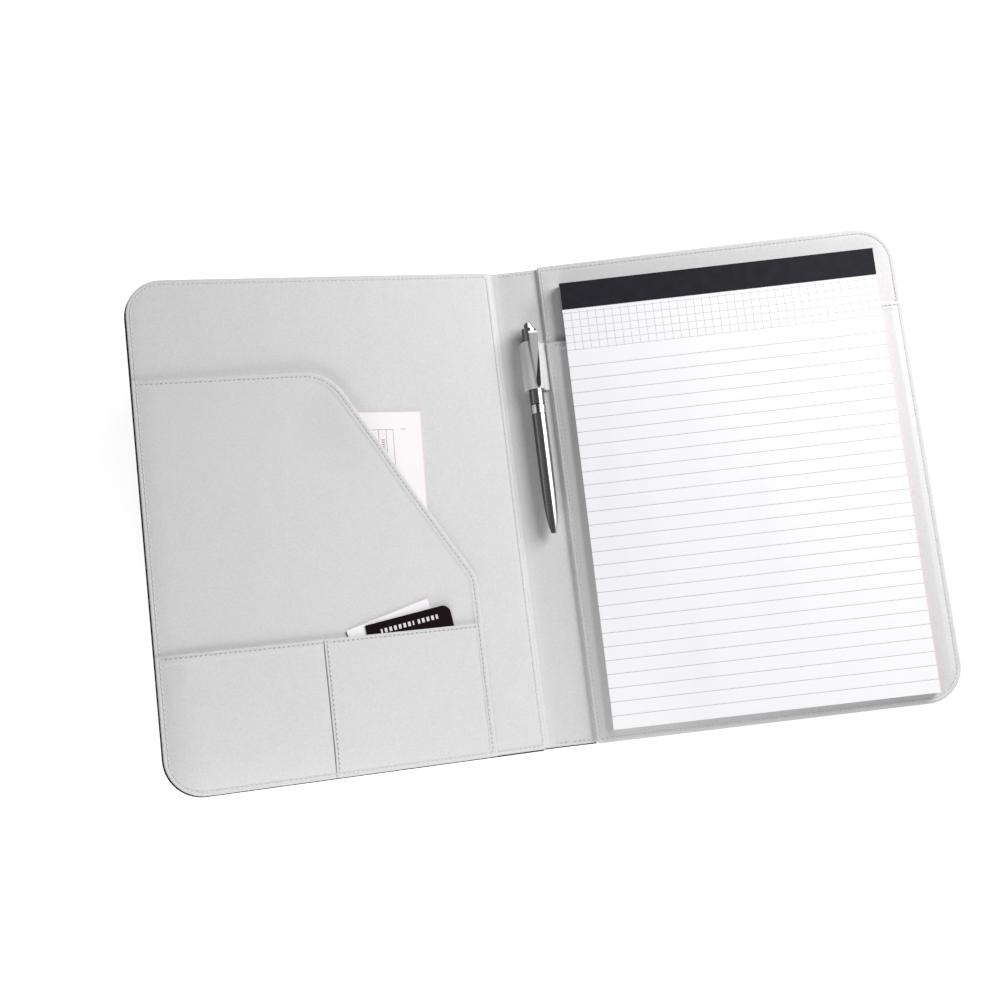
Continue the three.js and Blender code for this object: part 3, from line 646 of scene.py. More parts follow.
class Value:
    """A number socket of a shader; operators on it add Math nodes."""

    def __init__(self, shader, socket):
        self.shader = shader
        self.socket = socket

    def math(self, operation, *others, first=None):
        terms = [self, *others] if first is None else [first, self]
        return self.shader.node("ShaderNodeMath", {"operation": operation}, dict(enumerate(terms)))

    def __add__(self, other):
        return self.math("ADD", other)

    __radd__ = __add__

    def __sub__(self, other):
        return self.math("SUBTRACT", other)

    def __rsub__(self, other):
        return self.math("SUBTRACT", first=other)

    def __mul__(self, other):
        return self.math("MULTIPLY", other)

    __rmul__ = __mul__

    def __truediv__(self, other):
        return self.math("DIVIDE", other)

    def __lt__(self, other):
        return self.math("LESS_THAN", other)

    def __gt__(self, other):
        return self.math("GREATER_THAN", other)

    def clamped(self):
        return self.math("MAXIMUM", 0.0).math("MINIMUM", 1.0)

    def away(self, place=0.0):
        """Distance from a place in metres."""
        return (self - place).math("ABSOLUTE")

    def within(self, low, high):
        """1 between two places in millimetres, else 0."""
        return (self > low * MM) * (self < high * MM)

    def from_lines(self, pitch):
        """Distance to the nearest multiple of a pitch."""
        return self.math("PINGPONG", pitch / 2)


def chained(operation, first, *others):
    """The greatest or least of some values."""
    for other in others:
        first = first.math(operation, other)
    return first


class Nodes:
    """The nodes of a material or a world in the making."""

    def __init__(self, owner):
        owner.use_nodes = True
        self.tree = owner.node_tree

    def node(self, kind, settings=None, inputs=None, output=0):
        """Adds a node: its settings come first, then its sockets' values or links; returns one output."""
        made = self.tree.nodes.new(kind)
        for key, value in (settings or {}).items():
            if key == "stops":
                ramp = made.color_ramp.elements
                for index, (position, shade) in enumerate(value):
                    stop = ramp[index] if index < 2 else ramp.new(position)
                    stop.position = position
                    stop.color = (*shade, 1.0)
            else:
                setattr(made, key, value)
        for key, value in (inputs or {}).items():
            self.feed(made.inputs[key], value)
        return Value(self, made.outputs[output])

    def feed(self, socket, value):
        if isinstance(value, Value):
            self.tree.links.new(value.socket, socket)
        elif hasattr(value, "__len__") and len(value) == 3 and socket.type == "RGBA":
            socket.default_value = (*value, 1.0)
        else:
            socket.default_value = value

    def seen(self):
        """1 for rays from the camera, straight or by way of a reflection or of glass, else 0."""
        return chained("MAXIMUM", *(self.node("ShaderNodeLightPath", output=name)
                                    for name in ("Is Camera Ray", "Is Glossy Ray", "Is Transmission Ray")))


class Shader(Nodes):
    """A material in the making: a Principled surface and the nodes that feed it.

    Its patterns lie in the piece's local place, or for one of the frame's own solids in the solid's.
    """

    def __init__(self, name, roughness=0.6, metallic=0.0, specular=0.5, from_mesh=True):
        self.material = bpy.data.materials.new(name)
        super().__init__(self.material)
        self.surface = next(n for n in self.tree.nodes if n.type == "BSDF_PRINCIPLED")
        self.surface.inputs["Roughness"].default_value = roughness
        self.surface.inputs["Metallic"].default_value = metallic
        self.surface.inputs["Specular IOR Level"].default_value = specular
        if from_mesh:
            self.place = self.node("ShaderNodeAttribute", {"attribute_name": "place"}, output="Vector")
        else:
            self.place = self.node("ShaderNodeTexCoord", output="Object")

    def axes(self):
        """The local x, y and z of the surface."""
        made = self.tree.nodes.new("ShaderNodeSeparateXYZ")
        self.tree.links.new(self.place.socket, made.inputs[0])
        return [Value(self, out) for out in made.outputs]

    def scaled_place(self, size, stretch=(1, 1, 1)):
        return self.node("ShaderNodeVectorMath", {"operation": "MULTIPLY"},
                         {0: self.place, 1: [s / size for s in stretch]})

    def noise(self, size, detail=2.0, stretch=(1, 1, 1)):
        """Noise whose features are about `size` metres across."""
        return self.node("ShaderNodeTexNoise",
                         inputs={"Vector": self.scaled_place(size, stretch), "Scale": 1.0, "Detail": detail})

    def cells(self, size):
        """Distance from the middle of cells about `size` metres across, as a share of their size."""
        return self.node("ShaderNodeTexVoronoi", {"feature": "F1"},
                         {"Vector": self.scaled_place(size), "Scale": 1.0})

    def between(self, mask, first, second):
        """A colour that goes from first to second as the mask goes from 0 to 1."""
        return self.node("ShaderNodeMix", {"data_type": "RGBA"}, {0: mask, 6: first, 7: second}, output=2)

    def finish(self, base, bump=None, depth=0.0, roughness=None):
        """The material, with its colour and, where given, a bump of some metres' depth and a roughness."""
        self.feed(self.surface.inputs["Base Color"], base)
        if roughness is not None:
            self.feed(self.surface.inputs["Roughness"], roughness)
        if bump is not None:
            normal = self.node("ShaderNodeBump", inputs={"Strength": 1.0, "Distance": depth, "Height": bump})
            self.feed(self.surface.inputs["Normal"], normal)
        return self.material


def scaled(shade, factor):
    """A colour made darker or lighter."""
    return tuple(min(c * factor, 1.0) for c in shade)


FINISHES = {}


def finish(name, make, *details):
    """A finish, made once and kept under its name."""
    if name not in FINISHES:
        FINISHES[name] = make(name, *details)
    return FINISHES[name]


def leatherette(name, shade, grain=0.75, depth=0.05, roughness=0.62, specular=0.35):
    """Coated cloth: fine cells with soft creases between them, and a faint cloudiness in its colour."""
    shader = Shader(name, roughness=roughness, specular=specular)
    cells = shader.cells(grain * MM)
    fine = shader.noise(grain * MM * 0.6, 3.0)
    clouds = shader.noise(14 * MM, 3.0)
    speckle = shader.noise(grain * MM * 1.6, 2.0)
    mask = (clouds * 0.2 + speckle * 0.8 - 0.3) * 2.5
    base = shader.between(mask.clamped(), scaled(shade, 0.95), scaled(shade, 1.05))
    rough = roughness - 0.08 + fine * 0.16
    return shader.finish(base, bump=cells * 0.6 + fine * 0.8, depth=depth * MM, roughness=rough)


def thread_finish(name, shade):
    """Twisted thread: fine slanted strands."""
    shader = Shader(name, roughness=0.7, specular=0.3)
    strands = shader.noise(0.25 * MM, 2.0, stretch=(1, 1, 0.3))
    base = shader.between(strands, scaled(shade, 0.82), scaled(shade, 1.08))
    return shader.finish(base, bump=strands, depth=0.04 * MM)


def hole_shade_finish(name, shade):
    """Painted shade of a needle hole: a dark mark for the shade inside it."""
    shader = Shader(name, roughness=0.9, specular=0.1)
    shade_noise = shader.noise(0.4 * MM, 1.0)
    return shader.finish(shader.between(shade_noise, scaled(shade, 0.8), scaled(shade, 1.2)))


def line_mask(distance, width):
    """1 on a printed line of that width in metres, with soft edges."""
    return (1.0 + (width / 2 - distance) / (0.06 * MM)).clamped()


def paper(name, shade, roughness, specular, printed):
    """Soft white paper, a little uneven in its tone; `printed(shader, base)` adds what is on it."""
    shader = Shader(name, roughness=roughness, specular=specular)
    clouds = shader.noise(35 * MM, 2.0, stretch=(1.0, 0.25, 1.0))
    fibres = shader.noise(0.35 * MM, 3.0)
    tinted = (shade[0] * 0.972, shade[1] * 0.965, shade[2])
    base = shader.between(((clouds - 0.45) * 3.0).clamped(), shade, tinted)
    return shader.finish(printed(shader, base), bump=fibres, depth=0.012 * MM)


def memo_paper(name):
    """Memo paper with its printed grid at the head, ruled lines below it and a pink cut edge at its right."""
    size = bpy.context.scene.folder_sizes
    grid_foot, grid_head, first_rule, last_rule = (place * MM for place in MEMO_PRINT)

    def printed(shader, base):
        x, y, _ = shader.axes()
        in_grid = (y > grid_foot - size.line_width) * (y < grid_head)
        columns = line_mask(x.from_lines(size.grid_column), size.line_width * 0.8)
        rows = line_mask((y - grid_foot).from_lines(size.grid_row), size.line_width * 0.8)
        grid = columns.math("MAXIMUM", rows) * in_grid * 0.7
        rules = line_mask((y - first_rule).from_lines(size.rule_pitch), size.line_width)
        rules = rules * (y < first_rule + size.line_width) * (y > last_rule) * 0.8
        base = shader.between(grid.math("MAXIMUM", rules), base, tuple(colours().ink))
        edge = (1.0 + (x - PAD_WIDTH * MM) / (0.6 * MM)).clamped()
        return shader.between(edge * 0.6, base, tone(0xF0A9B8))

    return paper(name, tuple(colours().paper), 0.75, 0.25, printed)


def sheet_edge(shader, size, reach):
    """1 within a reach of the border of a sheet of that size whose corner is at the origin."""
    distances = []
    for place, extent in zip(shader.axes(), size):
        place = place.away()
        distances += [place, place.away(extent * MM)]
    return (1.0 - chained("MINIMUM", *distances) / (reach * MM)).clamped()


def letter_paper(name):
    """Faintly pink paper with the corner of a ruled form."""
    width = 0.28 * MM

    def printed(shader, base):
        x, y, _ = shader.axes()
        across, down = 0.0 - x, 0.0 - y
        head = line_mask(down.away(FORM_HEAD * MM), width) * (across > FORM_UPRIGHTS[0] * MM)
        uprights = chained("MAXIMUM", *(line_mask(across.away(place * MM), width) for place in FORM_UPRIGHTS))
        uprights = uprights * down.within(FORM_HEAD, FORM_FOOT)
        mark = across.within(10.5, 14) * down.within(11.0, 11.9) * 0.4
        bars = line_mask((down - 0.5 * MM).from_lines(1.5 * MM), 0.7 * MM)
        bars = bars * across.within(24.8, 27) * down.within(18, 90) * 0.8
        ink = chained("MAXIMUM", head, uprights, mark, bars)
        base = shader.between(ink * 0.75, base, tone(0x4A4456))
        return shader.between(sheet_edge(shader, LETTER_SIZE, 0.9) * 0.55, base, tone(0xF7B9C8))

    return paper(name, tuple(colours().letter), 0.72, 0.3, printed)


def ticket_paper(name):
    """White ticket paper with a pink cut edge."""
    def printed(shader, base):
        return shader.between(sheet_edge(shader, TICKET_SIZE, 0.6) * 0.45, base, tone(0xF3C3CC))

    return paper(name, tone(0xFCFBFC), 0.7, 0.3, printed)


def dark_card(name):
    """Dark coated card with a row of light bars and a framed field below them."""
    shade = colours().card
    shader = Shader(name, roughness=0.5, specular=0.05)
    x, y, _ = shader.axes()
    down = 0.0 - y
    base = shader.between(shader.noise(6 * MM, 2.0), scaled(shade, 0.8), scaled(shade, 1.6))
    bars = line_mask(x.from_lines(3.1 * MM), 1.7 * MM) * x.within(9, 47) * down.within(4.6, 7.4)
    bars = bars * (1.0 - x.within(31, 33.5))
    rules = line_mask((down - 14 * MM).from_lines(6 * MM), 0.3 * MM) * down.within(14, 62) * x.within(5, 51)
    base = shader.between(bars.math("MAXIMUM", rules) * 0.9, base, tone(0xEDEDED))
    return shader.finish(base, bump=shader.noise(0.3 * MM, 2.0), depth=0.008 * MM)


def tape_finish(name, shade):
    """Woven binding tape with a paper coating."""
    shader = Shader(name, roughness=0.62, specular=0.12, from_mesh=False)
    x, y, _ = shader.axes()
    weave = x.from_lines(0.55 * MM) + y.from_lines(0.55 * MM)
    clouds = shader.noise(7 * MM, 3.0)
    base = shader.between(((clouds - 0.35) * 2.5).clamped(), scaled(shade, 0.85), scaled(shade, 1.35))
    return shader.finish(base, bump=weave * 900.0 + shader.noise(0.4 * MM), depth=0.03 * MM)


def board_finish(name, shade):
    """Recycled greyboard with dark and light specks."""
    shader = Shader(name, roughness=0.9, specular=0.2, from_mesh=False)
    specks = shader.noise(0.8 * MM, 3.0)
    base = shader.between(((specks - 0.35) * 3.0).clamped(), scaled(shade, 0.75), scaled(shade, 1.2))
    return shader.finish(base, bump=specks, depth=0.05 * MM)


def foam_finish(name, shade):
    """Open-cell foam."""
    shader = Shader(name, roughness=0.95, specular=0.15, from_mesh=False)
    cells = shader.cells(0.7 * MM)
    base = shader.between(cells, scaled(shade, 0.8), shade)
    return shader.finish(base, bump=cells, depth=0.2 * MM)


def wire(name, shade):
    """Drawn wire of the pen's spring."""
    shader = Shader(name, roughness=0.3, metallic=1.0, from_mesh=False)
    streaks = shader.noise(1.2 * MM, 3.0)
    base = shader.between(streaks, scaled(shade, 0.93), scaled(shade, 1.05))
    return shader.finish(base, bump=streaks, depth=0.004 * MM, roughness=streaks * 0.08 + 0.26)


def pen_metal_painted_reflections(name, painted_reflection_bands, roughness, brushed=0.0, blade=False):
    """Metal of the pen with painted reflections: bands of painted shade and painted highlight run along it.

    Each band is a place across the pen, from -1 at its left to 1 at its right, with its grey. Brushing runs
    round the barrel. A blade also gets a painted highlight at its head and painted shade at the right of its
    lower half.
    """
    shader = Shader(name, roughness=roughness, metallic=1.0)
    x, y, _ = shader.axes()
    stretch = (0.15, 6.0, 0.15) if brushed else (1, 1, 1)
    streaks = shader.noise(1.2 * MM, 3.0, stretch=stretch)
    across = x / (2 * PEN_RADIUS * MM) + 0.5
    stops = [((place + 1) / 2, (grey,) * 3) for place, grey in painted_reflection_bands]
    base = shader.node("ShaderNodeValToRGB", {"stops": stops}, {0: across})
    if blade:
        # Painted highlight on the clip's head
        head = ((y - (CLIP_HEAD - CLIP_BEVEL) * MM) / (0.3 * MM)).clamped()
        base = shader.between(head, base, (0.95, 0.95, 0.95))
        # Painted shade: a dark patch at the right of the blade's lower half
        painted_shade_edge = 2.0 * MM + (y - 120 * MM) * 0.2
        hollow = ((x - painted_shade_edge) / (0.35 * MM)).clamped() * (y < CLIP_PAINTED_SHADE_TOP * MM)
        base = shader.between(hollow, base, (0.035, 0.035, 0.038))
    rough = streaks * (0.08 + brushed) + (roughness - 0.04 - brushed / 2)
    return shader.finish(base, bump=streaks, depth=0.004 * MM, roughness=rough)


def plastic(name, shade):
    """Smooth moulded plastic."""
    shader = Shader(name, roughness=0.4, from_mesh=False)
    clouds = shader.noise(2 * MM, 2.0)
    return shader.finish(shader.between(clouds, scaled(shade, 0.95), shade), bump=clouds, depth=0.01 * MM)


def lining_finish():
    return finish("light_leatherette", leatherette, tuple(colours().lining), sizes()["grain"])


def pocket_finish():
    return finish("pocket_leatherette", leatherette, tuple(colours().pocket), sizes()["grain"])


def leather_finish():
    return finish("outer_leatherette", leatherette, tuple(colours().leather), 1.1, 0.14, 0.48, 0.15)


def inside_threads(tight=False):
    """Light thread with the painted shade of its needle holes, painted fainter when asked for, as on the
    covers' seams.
    """
    # Greys of the painted hole shade: faint 0xC8C8C8, else 0x989898
    name, shade = ("tight_needle_hole", 0xC8C8C8) if tight else ("inside_needle_hole", 0x989898)
    return (finish("inside_thread", thread_finish, tuple(colours().thread_inside)),
            finish(name, hole_shade_finish, tone(shade)))


def outside_threads():
    return (finish("outside_thread", thread_finish, tuple(colours().thread_outside)),
            # 0x0A0A0A is the painted shade of the needle holes in the outer leather
            finish("outside_needle_hole", hole_shade_finish, tone(0x0A0A0A)))


# ---- Heights of the sewn layers -----------------------------------------------------------------------

FACE = eased(LINING_FACE)
HEM = eased(HEM_FACE, 0.5)
RISES = {"slot": SLOT_RISE, "document": POCKET_RISE, "ticket": TICKET_RISE}


def page_depth(side, x, y):
    """How far a point lies inside its page, and how far it is on the padding, from 0 to 1."""
    depth = depth_of(x, y, NEAR_SCALE[side])
    return depth, np.clip((depth - PADDING_START) / PADDING_REACH, 0, 1)


def by_depth(stops, side):
    """A height over a page that depends only on how far inside it a point lies."""
    curve = eased(stops)
    return lambda x, y: curve(page_depth(side, x, y)[0])


def rise_of(kind, depth):
    along, height = zip(*RISES[kind])
    return np.interp(depth, along, height)


def mouth_line(corners, first, last):
    """The open edge of a pocket: its outline's points from one corner's start to another's end."""
    ring = outline(corners)
    starts = [int(np.argmin(np.hypot(*(ring - np.array(corners[i][:2])).T))) for i in (first, last)]
    return ring[starts[0]:starts[1] + 1]


DOCUMENT_MOUTH = mouth_line(POCKET_CORNERS, 1, 4)


def lining_top(side):
    """Height of a cover's lining over its page."""
    def height(x, y):
        depth, padded = page_depth(side, x, y)
        sunk = NEAR_SLOPE[side] * np.clip(1 - np.abs(x) / NEAR_SLOPE_REACH, 0, 1)
        if side < 0:
            beside = np.exp(-(distance_to(DOCUMENT_MOUTH, x, y) / MOUTH_SINK_REACH) ** 2)
            bend = np.exp(-((x - MOUTH_BEND) / MOUTH_SINK_SPREAD) ** 2)
            sunk = sunk + MOUTH_SINK * padded * beside * (MOUTH_SINK_REST + (1 - MOUTH_SINK_REST) * bend)
        return FACE(depth) - sunk + padded * waves(x, y, 3.0 + side, 55, sizes()["waviness"])
    return height


def slot_base(x, y):
    """Height of the panel that takes the pad's cardboard, without its hem."""
    depth, padded = page_depth(1, x, y)
    return FACE(depth) + rise_of("slot", depth) + padded * waves(x, y, 9.0, 60, 0.1)


def slot_top(x, y):
    return slot_base(x, y) + HEM(SLOT_MOUTH - y)


def mouth_stand(x, y, edge):
    """How far the large pocket's mouth stands open near its bend."""
    along = np.exp(-((x - MOUTH_BEND) / MOUTH_STAND_SPREAD) ** 2)
    above = smooth(np.clip((y - MOUTH_STAND_FOOT) / MOUTH_STAND_RAMP, 0, 1))
    return sizes()["mouth_lift"] * along * above * np.exp(-(edge / MOUTH_STAND_REACH) ** 2)


def document_base(x, y):
    """Height of the large pocket without its hem."""
    depth, padded = page_depth(-1, x, y)
    stand = mouth_stand(x, y, distance_to(DOCUMENT_MOUTH, x, y))
    return FACE(depth) + rise_of("document", depth) + stand + padded * waves(x, y, 5.5, 70, 0.1)


def document_top(x, y):
    return document_base(x, y) + HEM(distance_to(DOCUMENT_MOUTH, x, y))


def ticket_sides(kind):
    """Left and right edge of a small pocket."""
    if kind == "outer":
        return -PAGE_WIDTH + 0.4, -TICKET_DIVIDER - 0.25
    return -TICKET_DIVIDER + 0.25, -TICKET_INNER_SIDE


def ticket_corners(kind):
    left, right = ticket_sides(kind)
    return rectangle(left, 0.4, right, TICKET_TOP, (PAGE_CORNER if kind == "outer" else 0.0, 0, 0, 0))


def ticket_base(kind):
    """Height of a small pocket without its hem, sewn down at its sides."""
    left, right = ticket_sides(kind)

    def height(x, y):
        depth, _ = page_depth(-1, x, y)
        side = np.minimum(right - x, x - left if kind == "inner" else 1e3)
        sewn = smooth(np.clip(side / TICKET_SIDE_SEAM, 0, 1))
        most = TICKET_SEWN_RISE + (TICKET_FULL_RISE - TICKET_SEWN_RISE) * sewn
        soft = np.clip((np.minimum(depth, side + 4) - PADDING_START) / 14, 0, 1)
        return FACE(depth) + np.minimum(rise_of("ticket", depth), most) + soft * waves(x, y, 7.7, 45, 0.12)
    return height


def ticket_top(kind):
    base = ticket_base(kind)
    return lambda x, y: base(x, y) + HEM(TICKET_TOP - y)


def stacked(side):
    """Height of whatever layer is uppermost on a page."""
    lining = lining_top(side)
    if side > 0:
        layers = [(outline(rectangle(0, 0, PAGE_WIDTH, SLOT_MOUTH)), slot_top)]
    else:
        layers = [(outline(POCKET_CORNERS), document_top)]
        layers += [(outline(ticket_corners(k)), ticket_top(k)) for k in ("outer", "inner")]

    def height(x, y):
        top = lining(x, y)
        for ring, layer in layers:
            top = np.where(contains(ring, x, y), np.maximum(top, layer(x, y)), top)
        return top
    return height


# ---- Operators ----------------------------------------------------------------------------------------

class FOLDER_OT_stage(Operator):
    """Makes the floor, the lamps, the white world and the camera"""
    bl_idname = "folder.stage"
    bl_label = "Stage"

    def execute(self, context):
        scene = context.scene
        scene.view_settings.view_transform = "Standard"
        self.world(scene)
        half = FLOOR_SIZE / 2
        mesh = bpy.data.meshes.new("floor")
        mesh.from_pydata([(-half, -half, 0), (half, -half, 0), (half, half, 0), (-half, half, 0)], [],
                         [(0, 1, 2, 3)])
        mesh.materials.append(self.floor_finish())
        self.placed(scene, "floor", mesh)
        for name, place, target, size, watts in LAMPS:
            lamp = bpy.data.lights.new(name, "AREA")
            lamp.shape = "DISK"
            lamp.size = size * MM
            lamp.energy = watts
            made = self.placed(scene, name, lamp)
            made.location = Vector(place) * MM
            made.rotation_euler = (Vector(target) - Vector(place)).to_track_quat("-Z", "Y").to_euler()
        camera = self.placed(scene, "camera", bpy.data.cameras.new("camera"))
        camera.data.lens = CAMERA_LENS
        camera.data.clip_start = 0.01
        camera.data.clip_end = 50
        back = -Vector(CAMERA_VIEW).normalized()
        right = Vector(CAMERA_UP).cross(back).normalized()
        turn = Matrix((right, back.cross(right), back)).transposed().to_4x4()
        camera.matrix_world = Matrix.Translation(Vector(CAMERA_PLACE) * MM) @ turn
        scene.camera = camera
        return {"FINISHED"}

    def placed(self, scene, name, data):
        made = bpy.data.objects.new(name, data)
        scene.collection.objects.link(made)
        return made

    def floor_finish(self):
        """Pale matt floor that glows a little to the camera and in reflections, so that it reads as white."""
        shader = Shader("floor_finish", roughness=0.9, specular=0.1, from_mesh=False)
        patches = shader.noise(0.4, 1.0)
        shade = shader.between(patches, tone(0xF4F4F4), tone(0xF6F6F6))
        x, y, _ = shader.axes()
        away = (x * x + y * y).math("SQRT")
        near, far = FLOOR_RIM
        outside = ((away - near * MM) / ((far - near) * MM)).clamped()
        glow = shader.between(outside, *((strength,) * 3 for strength in FLOOR_GLOW))
        glow = shader.between(shader.seen(), (0, 0, 0), glow)
        shader.surface.inputs["Emission Strength"].default_value = 1.0
        shader.feed(shader.surface.inputs["Emission Color"], glow)
        return shader.finish(shade)

    def world(self, scene):
        """A room that is white to look at and lights the folder only softly."""
        scene.world = bpy.data.worlds.new("white_room")
        nodes = Nodes(scene.world)
        nodes.tree.nodes.clear()
        soft, white = (nodes.node("ShaderNodeBackground", inputs={"Color": (1, 1, 1), "Strength": strength})
                       for strength in (WORLD_STRENGTH, 1.0))
        mix = nodes.node("ShaderNodeMixShader", inputs={0: nodes.seen(), 1: soft, 2: white})
        nodes.feed(nodes.tree.nodes.new("ShaderNodeOutputWorld").inputs["Surface"], mix)


class FOLDER_OT_covers(Operator):
    """Makes the outer leather and the padded lining of both covers, and the seams round them"""
    bl_idname = "folder.covers"
    bl_label = "Covers"

    def execute(self, context):
        inset = sizes()["seam_inset"]
        for name, side, place in (("back", 1, BACK_PAGE), ("front", -1, FRONT_PAGE)):
            body = f"{name}_cover"
            lining = panel(f"{name}_cover_lining", page_corners(side, LINING_LAP[side]), lining_top(side),
                           by_depth(LINING_BACK, side), place, lining_finish(),
                           square=lambda x, y: np.abs(x) < 1e-6)
            declared(lining, "lining_leather", body, f"{name}_lining")
            under = by_depth(SKIN_FACE, side)
            leather = panel(f"{name}_cover_leather", page_corners(side, LEATHER_LAP[side]),
                            by_depth(SKIN_BACK, side), under, place, leather_finish(), roll=0.45)
            declared(leather, "outer_leather", body, f"{name}_skin")
            seam = outline(page_corners(side, inset=inset, near=inset / NEAR_SCALE[side]), 0.0, 1.0)
            stitches(f"{name}_seam", [(seam, True)], stacked(side), place, body, inside_threads(True))
            stitches(f"{name}_outer_seam", [(seam, True)], under, place, body, outside_threads(),
                     "outer_leather", facing=-1)
        return {"FINISHED"}


class FOLDER_OT_pockets(Operator):
    """Makes the slot panel, the large pocket and the ticket pockets, with their hems sewn"""
    bl_idname = "folder.pockets"
    bl_label = "Pockets"

    def execute(self, context):
        foot, far, _ = LINING_LAP[1]
        corners = rectangle(0, -foot, PAGE_WIDTH + far + 0.5, SLOT_MOUTH, (SPINE_CORNER, PAGE_CORNER, 0, 0))
        self.cloth("slot_cloth", "pad_slot_panel", corners, slot_top, slot_base, "back_cover")
        self.cloth("document_pocket_cloth", "document_pocket", POCKET_CORNERS, document_top, document_base,
                   "front_cover")
        for kind in ("outer", "inner"):
            self.cloth(f"{kind}_ticket_cloth", f"{kind}_ticket_pocket", ticket_corners(kind),
                       ticket_top(kind), ticket_base(kind), "front_cover")
        self.hems(sizes()["seam_inset"], sizes()["hem_inset"])
        return {"FINISHED"}

    def cloth(self, name, node, corners, over, base, body):
        """A taut panel that is cut to its outline and sewn to its cover's lining."""
        place = BACK_PAGE if body == "back_cover" else FRONT_PAGE
        made = panel(name, corners, over, lambda x, y: base(x, y) - PANEL_THICKNESS, place, pocket_finish(),
                     spacing=1.6)
        ring = outline(corners)
        declared(made, "lining_leather", body, node)

    def hems(self, seam, inset):
        """The stitches along the pockets' mouths and between the small pockets."""
        height = SLOT_MOUTH - inset + 0.4
        line = np.array([(seam, height), (PAGE_WIDTH - seam, height)])
        stitches("slot_hem", [(line, False)], slot_top, BACK_PAGE, "back_cover", inside_threads())
        drawn = outline(POCKET_CORNERS, inset)
        first, last = (int(np.argmin(np.hypot(*(drawn - end).T)))
                       for end in ((-POCKET_SIDE - inset, seam), (-PAGE_WIDTH + seam, POCKET_TOP - inset)))
        stitches("document_hem", [(drawn[first:last + 1], False)], document_top, FRONT_PAGE, "front_cover",
                 inside_threads())
        height = TICKET_TOP - inset * TICKET_HEM_SHARE
        divider = -TICKET_DIVIDER + TICKET_DIVIDER_SEAM
        lines = [[(left + seam, height), (right - 1, height)]
                 for left, right in map(ticket_sides, ("outer", "inner"))]
        lines.append([(divider, seam), (divider, height)])
        stitches("ticket_hem", [(np.array(line), False) for line in lines], stacked(-1), FRONT_PAGE,
                 "front_cover", inside_threads())


